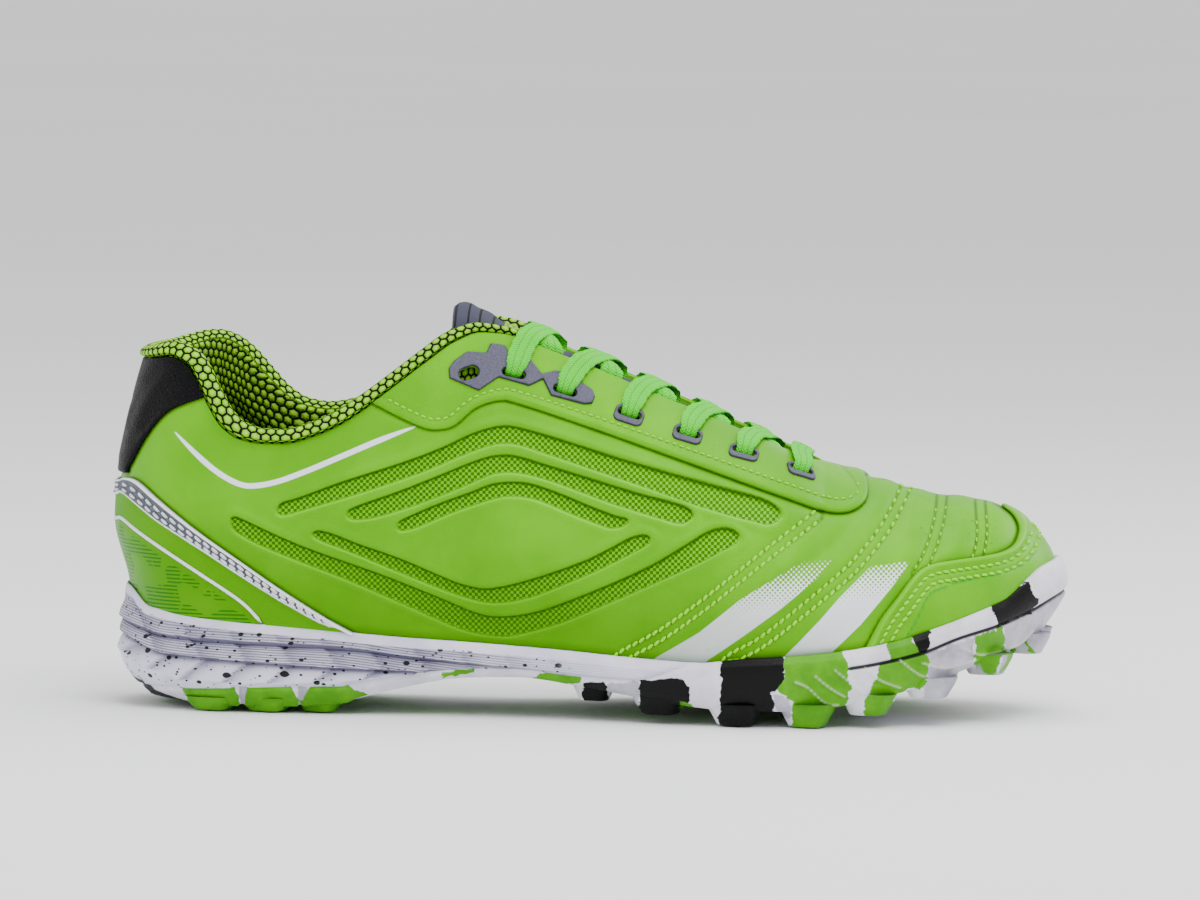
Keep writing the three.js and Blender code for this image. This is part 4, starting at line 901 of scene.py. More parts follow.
def look_overlay(name, stitched=False, toe=False):
    m = Look(name, .38, spec=.5, tint=GLOSS)
    color, grain, dust = lime_skin(m, .1)
    s = m.attr("rim")
    # painted shade along the rim, where the piece meets the upper
    color = m.mix(m.ramp(s, -.15, -.02, 0, .45), color, LIME_DARK)
    if toe:
        # painted highlight along the toe cap's raised ridge; the teal lines are print
        ridge = m.ramp(m.math("ABSOLUTE", m.math("ADD", s, 1.1)), .7, .1, 0, .35)
        color = m.mix(ridge, color, rgb(136, 210, 30))
        color = m.mix(m.ramp(m.attr("teal"), .55, .2, 0, .6), color, rgb(16, 132, 44))
    if stitched:
        # painted shade along the stitch row's sunken channel
        rows = m.attr("row")
        color = m.mix(m.ramp(rows, .55, .1, 0, .4), color, LIME_DEEP)
    rough = m.ramp(dust, .3, .8, .3, .48)
    return m.done(color, rough, m.bump(grain, .12))


def look_counter():
    m = Look("heel_counter", .5, spec=.25, tint=GLOSS)
    color, grain, dust = lime_skin(m)
    d = m.attr("strap")
    # groups of short dashes across the counter
    wave = m.math("SINE", m.math("MULTIPLY", m.z, 2 * np.pi / 1.15))
    block = m.cells(.19, vector=m.stretch(.8, .8, 1.15)).outputs["Color"]
    chosen = m.ramp(m.vec("DOT_PRODUCT", block, (1.0, 0, 0)), .34, .38)
    ends = m.ramp(m.noise(.5, 2, .5, m.stretch(.8, .8, .5)), .3, .38)
    zone = m.math("MULTIPLY", m.ramp(d, 1.8, 2.6), m.ramp(m.x, -84.0, -92.0))
    dashes = m.math("MULTIPLY", m.ramp(wave, -.1, .5), chosen)
    ink = m.math("MULTIPLY", dashes, m.math("MULTIPLY", zone, ends))
    color = m.mix(.45, color, rgb(52, 110, 0))
    color = m.mix(m.math("MULTIPLY", ink, .8), color, rgb(6, 88, 24))
    return m.done(color, m.ramp(dust, .3, .8, .38, .52), m.bump(grain, .12))


def look_strap():
    m = Look("heel_strap", .55, spec=.3, tint=GLOSS)
    color = lime_skin(m)[0]
    a, b = m.attr("upper_edge"), m.attr("lower_edge")
    weave = m.noise(1.6, 3, .6, m.stretch(1, 1, 1.6))
    color = m.mix(.45, color, rgb(62, 122, 0))
    band = m.mix(m.ramp(weave, .35, .65), rgb(80, 80, 94), rgb(112, 112, 130))
    inside = m.ramp(b, -.2, .15)
    color = m.mix(inside, color, band)
    edge = m.math("MAXIMUM", m.ramp(m.math("ABSOLUTE", m.math("SUBTRACT", a, .35)), .4, .25),
                  m.ramp(m.math("ABSOLUTE", m.math("SUBTRACT", b, .3)), .38, .22))
    # painted shade round the band's stitch rows
    rows = m.ramp(m.attr("rows"), .8, .3)
    color = m.mix(m.math("MULTIPLY", rows, m.ramp(b, 0, .4, 0, .5)), color, rgb(70, 70, 86))
    color = m.mix(edge, color, rgb(236, 236, 240))
    return m.done(color, .55, m.bump(m.math("ADD", weave, m.math("MULTIPLY", edge, .6)), .25))


def look_patch():
    m = Look("heel_patch", .5, spec=.12)
    skin = m.cells(.85, "DISTANCE_TO_EDGE", m.stretch(1, 1, 1.25)).outputs["Distance"]
    pebble = m.ramp(skin, .02, .22)
    tone = m.noise(.09, 3, .5)
    color = m.mix(m.ramp(tone, .35, .7), rgb(1, 1, 2), rgb(5, 5, 7))
    color = m.mix(m.math("MULTIPLY", m.ramp(pebble, .5, 0.0), .5), color, rgb(12, 11, 14))
    return m.done(color, m.ramp(tone, .3, .8, .4, .56), m.bump(pebble, .3))


def look_cells(name):
    """Hexagon mesh: pale cells that stand out of a dark net."""
    m = Look(name, .62, spec=.12)
    p = m.attr("cell", True)
    r, h = (1.0, 1.7320508, 1.0), (.5, .8660254, 0)
    a = m.vec("SUBTRACT", m.vec("MODULO", p, r), h)
    b = m.vec("SUBTRACT", m.vec("MODULO", m.vec("SUBTRACT", p, h), r), h)
    closer = m.math("LESS_THAN", m.vec("DOT_PRODUCT", a, a), m.vec("DOT_PRODUCT", b, b))
    n = m.node("ShaderNodeMix", data_type="VECTOR")
    m.put(n.inputs[0], closer)
    m.put(n.inputs[4], b)
    m.put(n.inputs[5], a)
    q = m.vec("ABSOLUTE", n.outputs[1])
    sep = m.node("ShaderNodeSeparateXYZ")
    m.put(sep.inputs[0], q)
    dist = m.math("MAXIMUM", m.vec("DOT_PRODUCT", q, (.5, .8660254, 0)), sep.outputs[0])
    pad = m.ramp(dist, .42, .33)
    tone = m.noise(.25, 3, .6)
    color = m.mix(m.ramp(tone, .3, .7), rgb(136, 210, 16), rgb(160, 232, 30))
    color = m.mix(m.ramp(dist, .2, .42, 0, .45), color, rgb(98, 140, 26))
    # painted shade on the lining deeper inside the opening
    deep = m.attr("depth")
    color = m.mix(m.math("MULTIPLY", deep, .5), color, rgb(96, 128, 30))
    color = m.mix(pad, rgb(4, 6, 3), color)
    thread = m.noise(2.2, 2, .6)
    dome = m.math("ADD", m.ramp(dist, .46, .1), m.math("MULTIPLY", thread, .12))
    return m.done(color, m.ramp(pad, 0, 1, .8, .55), m.bump(dome, .7))


def look_plate():
    m = Look("grey_trim", .5, spec=.3)
    fleck = m.noise(2.6, 4, .7)
    color = m.mix(m.ramp(fleck, .35, .68), rgb(68, 67, 84), rgb(94, 92, 112))
    # painted shade along the rim of each plate and loop and round its slots
    color = m.mix(m.ramp(m.attr("rim"), -.42, -.08, 0, .85), color, rgb(34, 33, 44))
    return m.done(color, .52, m.bump(fleck, .2))


def look_cloth():
    m = Look("tongue_cloth", .85, sheen=.04, spec=.2)
    along = m.attr("along")
    warp = m.math("SINE", m.math("MULTIPLY", m.attr("across"), 2 * np.pi / .8))
    weft = m.math("SINE", m.math("MULTIPLY", along, 2 * np.pi / .8))
    weave = m.math("MULTIPLY", warp, weft)
    cloth = m.mix(m.ramp(weave, -.5, .6), rgb(44, 46, 60), rgb(74, 76, 96))
    rib = m.math("PINGPONG", m.math("SUBTRACT", along, .8), 1.9)
    cloth = m.mix(m.math("MULTIPLY", m.ramp(rib, .42, .2), m.ramp(along, 17.0, 15.5)), cloth, rgb(6, 6, 8))
    net = m.lattice(along, m.attr("across"), 2.7)
    mesh = m.mix(m.ramp(net, -.35, -.05), rgb(24, 32, 8), rgb(150, 204, 40))
    zone = m.math("MULTIPLY", m.ramp(along, 15.0, 15.6), m.ramp(along, 33.0, 32.0))
    color = m.mix(zone, cloth, mesh)
    height = m.math("ADD", m.math("MULTIPLY", weave, .4), m.ramp(rib, .1, .5))
    return m.done(color, .85, m.bump(height, .22))


def look_lace():
    m = Look("lace_cord", .68, sheen=.05, spec=.25)
    a, s = m.attr("across"), m.attr("along")
    zig = m.math("PINGPONG", m.math("ADD", a, 20.0), 1.17)
    slanted = m.math("ADD", s, m.math("MULTIPLY", zig, .75))
    twill = m.math("SINE", m.math("MULTIPLY", slanted, 2 * np.pi / .82))
    ribs = m.ramp(zig, .22, .04)
    color = m.mix(m.ramp(twill, -.6, .5), rgb(52, 196, 4), rgb(84, 230, 20))
    color = m.mix(m.math("MULTIPLY", ribs, .45), color, rgb(36, 138, 8))
    fuzz = m.noise(3.0, 2, .6)
    height = m.math("ADD", m.math("ADD", m.math("MULTIPLY", twill, .5), m.math("MULTIPLY", fuzz, .5)),
                    m.math("MULTIPLY", ribs, -.8))
    return m.done(color, .7, m.bump(height, .2))


def speckle(m, scale, share, small, large, vector):
    n = m.cells(scale, vector=vector)
    n.voronoi_dimensions = "2D"
    dice = m.vec("DOT_PRODUCT", n.outputs["Color"], (1.0, 0, 0))
    size = m.vec("DOT_PRODUCT", n.outputs["Color"], (0, 1.0, 0))
    edge = m.math("ADD", small * scale, m.math("MULTIPLY", size, (large - small) * scale))
    spot = m.ramp(m.math("SUBTRACT", n.outputs["Distance"], edge), .12 * scale, -.12 * scale)
    return m.math("MULTIPLY", spot, m.math("GREATER_THAN", dice, 1.0 - share))


def look_foam():
    m = Look("foam", .5, spec=.3)
    tone = m.noise(.05, 3, .6)
    color = m.mix(m.ramp(tone, .3, .7), rgb(196, 193, 216), rgb(218, 215, 234))
    h, lined = m.attr("foam_shade"), m.attr("lined")
    # painted shade: darkest just under the crest above each tier, fading down the tier, and on one side of
    # each facet
    color = m.mix(m.math("MULTIPLY", h, .9), color, rgb(66, 62, 96))
    lines = m.math("SINE", m.math("MULTIPLY", m.attr("level"), 2 * np.pi / .74))
    cut = m.math("MULTIPLY", m.ramp(lines, .1, -.9), m.math("MULTIPLY", lined, .75))
    color = m.mix(cut, color, rgb(84, 80, 116))
    color = m.mix(m.ramp(m.attr("black"), .15, -.15), color, rgb(16, 15, 20))
    flat = m.node("ShaderNodeCombineXYZ")
    m.put(flat.inputs[0], m.attr("run"))
    m.put(flat.inputs[1], m.math("MULTIPLY", m.z, 1.5))
    place = flat.outputs[0]
    spots = m.math("MAXIMUM", speckle(m, .11, .5, .3, 1.5, place), speckle(m, .2, .5, .2, .85, place))
    spots = m.math("MAXIMUM", spots, speckle(m, .36, .42, .1, .5, place))
    thin = m.math("MULTIPLY", m.ramp(m.x, 10.0, -20.0, .1, 1), m.ramp(m.attr("crown"), 1.5, 4.0, .15, 1))
    color = m.mix(m.math("MULTIPLY", spots, m.ramp(thin, .3, .6)), color, rgb(14, 13, 18))
    return m.done(color, .5, m.bump(m.math("MULTIPLY", lines, lined), .22))


def look_tread():
    m = Look("tread_rubber", .5, spec=.16)
    tone = m.noise(.12, 4, .6)
    lime = m.mix(m.ramp(tone, .3, .7), rgb(66, 136, 0), rgb(84, 160, 0))
    grey = m.mix(m.ramp(tone, .3, .7), rgb(150, 147, 160), rgb(186, 183, 198))
    white = m.mix(m.ramp(tone, .3, .7), rgb(206, 203, 216), rgb(226, 224, 236))
    # under the sole the same colours lie in broken fields
    wander = m.vec("SCALE", m.node("ShaderNodeTexNoise").outputs["Color"], scale=6.0)
    wide = m.vec("ADD", m.stretch(1, 1, .2), wander)
    cell = m.cells(.058, vector=wide).outputs["Color"]
    pick_ = m.vec("DOT_PRODUCT", cell, (1.0, 0, 0))
    under = m.mix(m.ramp(pick_, .28, .281), lime, rgb(24, 23, 26))
    under = m.mix(m.ramp(pick_, .5, .501), under, grey)
    under = m.mix(m.ramp(pick_, .74, .741), under, lime)
    ragged = m.math("SUBTRACT", m.noise(.32, 4, .62), .5)
    frayed = m.math("MULTIPLY", ragged, m.ramp(m.x, -60.0, -20.0, 1.2, 3.8))
    shift = lambda key: m.ramp(m.math("ADD", m.attr(key), frayed), .12, -.12)
    side = m.mix(shift("grey"), white, grey)
    side = m.mix(shift("black"), side, rgb(1, 1, 2))
    side = m.mix(shift("lime"), side, lime)
    color = m.mix(m.attr("under"), side, under)
    color = m.mix(m.ramp(m.attr("cut"), .8, .3, 0, .95), color, rgb(14, 13, 16))
    color = m.mix(m.ramp(m.attr("rib"), .6, .1, 0, .38), color, rgb(214, 226, 190))
    scuff = m.noise(.9, 5, .75)
    color = m.mix(m.math("MULTIPLY", m.ramp(scuff, .66, .78), .3), color, rgb(110, 106, 100))
    return m.done(color, m.ramp(scuff, .3, .8, .36, .6), m.bump(m.noise(1.1, 4, .6), .12))


def look_thread(name, dark, light):
    m = Look(name, .7, sheen=.05, spec=.25)
    twist = m.noise(3.5, 2, .5, m.stretch(1, 1, 1.5))
    return m.done(m.mix(m.ramp(twist, .35, .65), dark, light), .7, m.bump(twist, .08))


def look_insole():
    m = Look("sock", .9, sheen=.3)
    weave = m.math("MULTIPLY", m.math("SINE", m.math("MULTIPLY", m.x, 2 * np.pi / .9)),
                   m.math("SINE", m.math("MULTIPLY", m.y, 2 * np.pi / .9)))
    worn = m.noise(.05, 3, .6)
    color = m.mix(m.ramp(weave, -.5, .5), rgb(30, 32, 32), rgb(58, 60, 62))
    color = m.mix(m.math("MULTIPLY", m.ramp(worn, .45, .7), .4), color, rgb(84, 84, 82))
    return m.done(color, .9, m.bump(weave, .2))


UPPER, EYESTAY_LOOK = look_upper(), look_overlay("eyestay_skin", stitched=True)
TOE_LOOK, COUNTER_LOOK = look_overlay("toe_skin", toe=True), look_counter()
STRAP_LOOK, PATCH_LOOK = look_strap(), look_patch()
CELLS, PLATE_LOOK, CLOTH, LACE = look_cells("lining"), look_plate(), look_cloth(), look_lace()
FOAM_LOOK, TREAD, SOCK = look_foam(), look_tread(), look_insole()
LIME_THREAD = look_thread("lime_thread", rgb(112, 196, 0), rgb(158, 236, 14))
GREY_THREAD = look_thread("grey_thread", rgb(190, 190, 204), rgb(232, 232, 242))
PIPING = look_thread("piping", rgb(214, 216, 226), rgb(240, 242, 248))


# Upper
def overlay_edges(x, z):
    """Distance outside the nearest overlay."""
    return np.minimum.reduce([field(x, z, a) for a in (EYESTAY_AREA, TOE_AREA, PATCH_AREA, STRAP_AREA)])


edge_d = overlay_edges(X_, Z_)
groove_d = fields(X_, Z_, GROOVE_AREAS)
# which way a panel's edge faces, for the painted highlight and shade along the sunken panels
tilt = (fields(X_, Z_ + .5, GROOVE_AREAS) - fields(X_, Z_ - .5, GROOVE_AREAS)).clip(-1, 1)
seam_m = np.minimum.reduce([line_dist(X_, Z_, s)[0] for s in SEAM_LINES])
seam_d = np.abs(seam_m - 1.45)
stripe_d = fields(X_, Z_, STRIPES)
thin_d, thin_s = line_dist(X_, Z_, spline(THIN_LINE))
thin_len = np.hypot(*np.diff(spline(THIN_LINE), axis=0).T).sum()
thin_w = .8 * np.sqrt(np.clip(np.minimum(thin_s / 12, (thin_len - thin_s) / 12), 0, 1))
fade = np.clip((Z_ - 33.5 - .1 * (X_ - 200)) / 13.5, 0, 1)
pins = ((X_ > 240) & (X_ < 266) & (Z_ > 52.5) & (Z_ < 66)).astype(float)
foot_d = Z_ - sole_top(X_)

relief = -1.2 * smooth(-groove_d, -.15, .8)
relief += .42 * np.exp(-((groove_d - 1.1) / 1.2)**2)
calm = 1 - .75 * smooth(X_, 232, 246) * smooth(Z_, 48, 60)
relief += (-.5 * np.exp(-(seam_d / .6)**2) - .12 * np.exp(-(seam_m / 2.5)**2)) * calm
relief += .75 * np.exp(-((seam_m - 6.5) / 4.2)**2) * smooth(X_, 150, 165) * calm
for line, width, height in CREASES:
    d, _ = line_dist(X_, Z_, spline(line))
    relief += height * np.exp(-(d / width)**2)
relief *= smooth(edge_d, -.5, 3.5) * smooth(foot_d, .5, 5)
relief -= .35 * np.exp(-(edge_d / .8)**2) * (edge_d > -.3)
relief = np.where(edge_d < .4, np.minimum(relief, 0), relief)
relief *= 1 - smooth(BASE[:, 7], .97, 1)

outer = BASE[:, :3] + BASE[:, 3:6] * relief[:, None]
slots = slot_field(BASE)
keep = slots[BASE_T].max(1) > .9
T_out = BASE_T[keep]
inner = BASE[:, :3] - BASE[:, 3:6] * WALL
rim_t = border_wall(T_out, len(BASE))
marks = {"groove": groove_d, "stripe": stripe_d, "fade": fade, "line": thin_d - thin_w,
         "seam": seam_d, "edge": np.maximum(edge_d, 0), "tilt": tilt,
         "pins": pins * rng.random(len(pins)) ** 6, "foot": foot_d}
two = {k: np.concatenate([a, a]) for k, a in marks.items()}
# the wall's inner side is a piece of its own in the upper part, where the opening shows it
edge_zone = BASE[:, 7][T_out].min(1) > .55
make("upper_shell", np.vstack([outer, inner]), np.vstack([T_out, rim_t]), UPPER, ("upper",),
     "upper_skin", two)
make("upper_inside", inner, T_out[edge_zone][:, ::-1], UPPER, (), "lining", marks)


# Overlays
def region(s):
    """The surface's triangles that lie in an area or within 3 mm of it."""
    sel = s[BASE_T].min(1) < 3
    used, inv = np.unique(BASE_T[sel], return_inverse=True)
    return BASE[used], inv.reshape(-1, 3), s[used]


def crease_relief(creases):
    def f(X, s):
        h = np.zeros(len(X))
        for line, width, height in creases:
            d, _ = line_dist(X[:, 0], X[:, 2], spline(line))
            h += height * np.exp(-(d / width)**2)
        return h * smooth(-s, 0, 1.5)
    return f


def eyestay_relief(X, _):
    s = field(X[:, 0], X[:, 2], EYESTAY_AREA)
    return -.16 * np.exp(-((s + 3) / .5)**2) + .12 * np.exp(-((s + 1.4) / .9)**2)


def toe_relief(X, s):
    rows = .3 * np.exp(-((s + 3.1) / .6)**2), .3 * np.exp(-((s + 5.5) / .6)**2)
    ridge = .75 * np.exp(-((s + 1.1) / .75)**2) - rows[0] - rows[1]
    side_ = smooth(X[:, 2], 62, 50)
    d, _ = line_dist(X[:, 0], X[:, 2], spline(TOE_LINE))
    return ridge * side_ + .25 * np.exp(-(d / .7)**2) + crease_relief(CREASES)(X, s) * .5


def strap_relief(X, _):
    a = line_dist(X[:, 0], X[:, 2], STRAP_TOP_LINE)[0]
    b = -field(X[:, 0], X[:, 2], UNDER_BAND)
    on = b < 0
    e = .4 * np.exp(-((a - .35) / .35)**2) + .35 * np.exp(-((-b - .35) / .35)**2) * on
    return e - .5 * smooth(b, -.3, .3)


def lay(name, area, thickness, rim_, mat, node, slot_, relief_=None, extra=None, holes=False):
    s = field(X_, Z_, area)
    if holes:
        s = np.maximum(s, -slots)
    X, T, s = region(s)
    P, T, XX, ss = shell(X, T, s, -.04, thickness, rim_, relief_)
    attrs = {"rim": ss}
    for key, f in (extra or {}).items():
        attrs[key] = f(XX[:, 0], XX[:, 2])
    return make(name, P, T, mat, (node,), slot_, attrs)


lay("eyestay_leather", EYESTAY_AREA, 1.35, 1.1, EYESTAY_LOOK, "eyestay", "overlay_skin", eyestay_relief,
    {"row": lambda x, z: np.abs(field(x, z, EYESTAY_AREA) + 3)}, holes=True)
TEAL_LINES = [spline(TOE_LINE)] + [np.array(d, float) for d in TOE_DASHES]
teal = {"teal": lambda x, z: np.minimum.reduce([line_dist(x, z, a)[0] for a in TEAL_LINES])}
lay("toe_cap_leather", TOE_AREA, 1.3, .9, TOE_LOOK, "toe_cap", "overlay_skin", toe_relief, teal)
lay("heel_patch_leather", PATCH_AREA, 1.25, .8, PATCH_LOOK, "heel_patch", "black_skin",
    crease_relief(PATCH_FOLDS))


def between_lines(share):
    """Plane line between the two edges of the strap's band."""
    x = np.linspace(2.5, 70, 120)
    hi = np.interp(x, STRAP_TOP_LINE[:, 0], STRAP_TOP_LINE[:, 1])
    lo = np.interp(x, STRAP_LOW_LINE[:, 0], STRAP_LOW_LINE[:, 1])
    return np.stack([x, hi + (lo - hi) * share], -1)


BAND_ROWS = [between_lines(.4), between_lines(.72)]
STRAP_MASK = {
    "rows": lambda x, z: np.minimum(*[line_dist(x, z, r)[0] for r in BAND_ROWS]),
    "upper_edge": lambda x, z: line_dist(x, z, STRAP_TOP_LINE)[0],
    "lower_edge": lambda x, z: field(x, z, UNDER_BAND)}
lay("heel_strap_band", STRAP_AREA, 1.6, .7, STRAP_LOOK, "heel_strap", "grey_trim", strap_relief, STRAP_MASK)
lay("heel_counter_skin", COUNTER_AREA, 1.1, .6, COUNTER_LOOK, "heel_counter", "overlay_skin", None,
    {"strap": lambda x, z: line_dist(x, z, COUNTER_LINE)[0]})

# piping along the counter's edge, once round the heel
line = COUNTER_LINE[(COUNTER_LINE[:, 0] > 2.2) & (COUNTER_LINE[:, 1] > 26.5)]
pl, nl = locate(line[:, 0], line[:, 1], -1)
pm, nm = locate(line[:, 0], line[:, 1], 1)
path, norm = np.vstack([pl[::-1], pm]), unit(np.vstack([nl[::-1], nm]))
make("heel_piping", *tube(path + norm * 1.15, norm, 1.0, 1.1), PIPING, (), "grey_trim")

# eyelet plates and loops on fine pieces of the same surface
for side, tag in ((-1, "lateral"), (1, "medial")):
    X, T = patch(98, 150, .58, side, 120, 90)
    s = field(X[:, 0], X[:, 2], PLATE)
    s = np.maximum(s, -slot_field(X))
    P, T, XX, ss = shell(X, T, s, 1.25, .95, .45)
    make("eyelet_plate_skin_" + tag, P, T, PLATE_LOOK, ("eyelet_plate_" + tag,), "grey_trim", {"rim": ss})
    for i, (p, up, along, _) in enumerate(FRAMES[side][3:]):
        X, T = patch(HOLES[i + 3] * L - 12, HOLES[i + 3] * L + 12, .5, side, 60, 90)
        d = X[:, :3] - p
        a, b = d @ along, d @ up + .5
        s = np.hypot(np.maximum(np.abs(a) - 2.6, 0), np.maximum(np.abs(b) - 1.1, 0)) - 1.9
        s = np.maximum(s, -slot_field(X))
        P, T, XX, ss = shell(X, T, s, 1.25, .75, .4)
        end = "%s_%d" % (tag, i + 1)
        make("eyelet_loop_skin_" + end, P, T, PLATE_LOOK, ("eyelet_loop_" + end,), "grey_trim", {"rim": ss})


# Stitches
def twin(lines, lean):
    return [(beside(a, d), 2.3, lean) for a in lines for d in (1.45, -1.45)]


make("seam_stitches", *join([stitch_rows(twin(SEAM_LINES[:2], 16), -.05, 2.35, .5),
                             stitch_rows(twin([a[:-5] for a in SEAM_LINES[2:]], 8), -.02, 1.7, .3)]),
     LIME_THREAD, (), "upper_skin")
eye_line = beside(spline(EYESTAY), 3.0)[8:-8]
make("eyestay_stitches", *stitch_rows([(eye_line, 2.2, 0)], 1.25, 1.6, .32), LIME_THREAD, (), "overlay_skin")
toe_rows = [(beside(spline(TOE_CAP), -d)[6:-32], 2.1, -14) for d in (3.1, 5.5)]
make("toe_cap_stitches", *stitch_rows(toe_rows, 1.15, 2.1, .46), LIME_THREAD, (), "overlay_skin")
strap_rows = [(r, 3.0, -8) for r in BAND_ROWS]
make("strap_stitches", *stitch_rows(strap_rows, 1.75, 2.7, .46), GREY_THREAD, (), "grey_trim")


# Collar
def collar():
    """Padded roll round the opening: a section of 13 points swept along the edge, then smoothed."""
    end, thick, roll = 124.0, 5.2, 4.4
    us = np.linspace(0, station_under(end), 190)
    rings = []
    for side in (-1, 1):
        uu = us[::-1] if side < 0 else us[1:]
        k = len(uu)
        sd = np.full(k, float(side))
        x = np.interp(uu, U_TABLE, X_TABLE)
        thin = 1 - smooth(x, 98, end) * .6
        pts = []
        rows = [(1, .72, .8), (1, .2, 1.0), (.86, 0, 1.0), (.78, 0, .72), (.715, 0, .35), (.715, 0, 0),
                (.86, 0, -.1), (1, .0, -.1), (1, .16, -.62), (1, .42, -.82), (1, .78, -.55), (1, 1.0, -.02),
                (1, .98, .42)]
        for v, up_, depth in rows:
            v = 1 - (1 - v) * thin
            p, _, along, n = uframe(uu, v * np.ones(k), sd)
            upright = np.cross(n, along) * (-side)
            if up_ > 0 or depth < -.2:
                inside = WALL * .5 + depth * thick * thin if depth > 0 else depth * 3.2 * (.4 + .6 * thin)
                rise = up_ * roll * (.5 + .5 * thin) * (1 + .4 * np.exp(-((x - 33) / 12)**2))
            else:
                inside, rise = WALL + .5 + np.maximum(depth, 0) * thick * thin, 0
            pts.append(p + upright * np.reshape(rise, (-1, 1)) - n * np.reshape(inside, (-1, 1)))
        rings.append(np.stack(pts, 1))
    R = np.vstack(rings)
    m = R.shape[1]
    out = []
    for i in range(m):
        a, b, c, d = R[:, (i - 1) % m], R[:, i], R[:, (i + 1) % m], R[:, (i + 2) % m]
        for t in np.arange(4) / 4:
            out.append(through(a, b, c, d, t))
    R = np.stack(out, 1)
    n, m = R.shape[:2]
    run = np.concatenate([[0], np.cumsum(np.linalg.norm(np.diff(R[:, 40], axis=0), axis=1))])
    run = run - run[n // 2]
    girth = np.linalg.norm(R - np.roll(R, 1, 1), axis=2)
    around = np.cumsum(girth, 1)
    around = around - around[:, 44:45]
    pitch = 2.85
    cell = np.stack([np.broadcast_to(run[:, None], (n, m)) / pitch + 400, around / pitch + 400,
                     0 * around], -1)
    # where the painted shade goes: the part of the lining that lies inside the opening
    deep = np.clip(smooth(np.arange(m), 0, 4) * (np.arange(m) < 18), 0, 1)[None] * np.ones((n, 1))
    T = grid_tris(n, m, closed_cols=True)
    P, T = R.reshape(-1, 3), np.vstack([T, fan(0, m), fan((n - 1) * m, m, True)])
    N = normals_of(P, T)
    if ((P - R.mean((0, 1))) * N)[:, 2].sum() < 0:
        T = T[:, ::-1]
    return P, T, {"cell": cell.reshape(-1, 3), "depth": deep.ravel()}


P, T, at = collar()
make("collar_pad", P, T, CELLS, ("collar",), "lining", at, padded=.6)


# Tongue
def tongue():
    """Padded tongue: arches under the throat, thinner at the sides, its free end lifted."""
    us = np.linspace(station_under(103), station_under(219), 110)
    x = np.interp(us, U_TABLE, X_TABLE)
    free = np.maximum(0, 1 - (x - 103) / 17.8)
    lift = 8 * free**1.5
    ts = np.linspace(0, 1, 31)
    cols = []
    for w in (.28, .2, .12, .06):
        cols.append(uframe(us, np.full(len(us), 1 - w), -np.ones(len(us)))[0])
    for t in ts:
        p = arch(us, np.full(len(us), t), 0)
        p[:, 2] += lift * np.sin(np.pi * t)
        cols.append(p)
    for w in (.06, .12, .2, .28):
        cols.append(uframe(us, np.full(len(us), 1 - w), np.ones(len(us)))[0])
    G = np.stack(cols, 1)
    nr, nc = G.shape[:2]
    P = G.reshape(-1, 3)
    T = grid_tris(nr, nc)
    N = normals_of(P, T)
    if N[:, 2].sum() < 0:
        N, T = -N, T[:, ::-1]
    q = np.abs(np.linspace(-1, 1, nc))[None] * np.ones((nr, 1))
    sag = 2.2 + 2.0 * smooth(q, .45, .8)
    end = np.sqrt(np.clip(1 - (1 - np.clip((x - x[0]) / 2.2, 0, 1))**2, 0.02, 1))[:, None]
    thick = 3.2 * end * (1 - .5 * smooth(q, .85, 1))
    mid = sag + 1.6
    lo, hi = mid + thick / 2, mid - thick / 2
    ripple = .3 * np.sin(x * .9)[:, None] * smooth(x, 130, 120)[:, None]
    A, C = P - N * (hi - ripple).reshape(-1, 1), P - N * lo.reshape(-1, 1)
    n = len(P)
    run = np.concatenate([np.zeros((nr, 1)), np.cumsum(np.linalg.norm(np.diff(G, axis=1), axis=2), 1)], 1)
    across = (run - run[:, nc // 2:nc // 2 + 1]).ravel()
    along = (np.broadcast_to((x - x[0])[:, None], (nr, nc))).ravel()
    both = lambda a: np.concatenate([a, a])
    tris = np.vstack([T, T[:, ::-1] + n, border_wall(T, n)])
    return np.vstack([A, C]), tris, {"along": both(along), "across": both(across)}


P, T, at = tongue()
make("tongue_cloth_piece", P, T, CLOTH, ("tongue",), "tongue_cloth", at, padded=.5)


# Lace
LACE_W, LACE_T = 7.0, 1.25


def lace_center(x, way, side, offset):
    """way: -1 to 0 up the wall from the eyelet, 0 to 1 over the throat, 1 to 2 down the far wall."""
    x, way, offset = (np.asarray(a, float) for a in (x, way, offset))
    u = station_under(x)
    down = np.where(way < 0, -way, way - 1) * HOLE_DOWN
    sd = np.where(way > 1, -side, side).astype(float)
    p, _, _, n = uframe(u, 1 - np.clip(down, 0, 40) / wall_length(u, sd), sd)
    on_wall = p + n * offset[..., None]
    t = np.clip(way, 0, 1)
    over = arch(u, t if side < 0 else 1 - t, offset)
    return np.where(((way < 0) | (way > 1))[..., None], on_wall, over)


def strand(start, stop, side, over, late):
    """Path of one crossing: out of its hole, up the wall, over the throat and under the other edge."""
    width = 2 * slot_half(start) * B
    way = np.concatenate([[-1.02, -1.01, -.99], np.linspace(-.9, 1.0, 44), [1.35, 1.7, 1.95]])
    off = np.interp(way, [-1.02, -1.01, -.99, -.9, -.72, -.3, .02, .2, .5, .66, .82, .95, 1.0, 2],
                    [-3.2, -1.5, .6, 2.4, 2.9, 2.5, 2.2, 1.7, 1.3, 1.2, .4, -2.6, -3.2, -3.2])
    off = off + over * .72 * np.exp(-((way - .5) / .2)**2)
    past = np.where(way < 1, way * width, width + (way - 1) * HOLE_DOWN)
    run = HOLE_DOWN + np.where(way < 0, way * HOLE_DOWN, past)
    x = (start + (stop - start) * np.clip(run / (2 * HOLE_DOWN + width), 0, 1)**late) * L
    C = lace_center(x, way, side, off)
    ahead = lace_center(x + 1, way, side, off) - lace_center(x - 1, way, side, off)
    return C, ahead, way


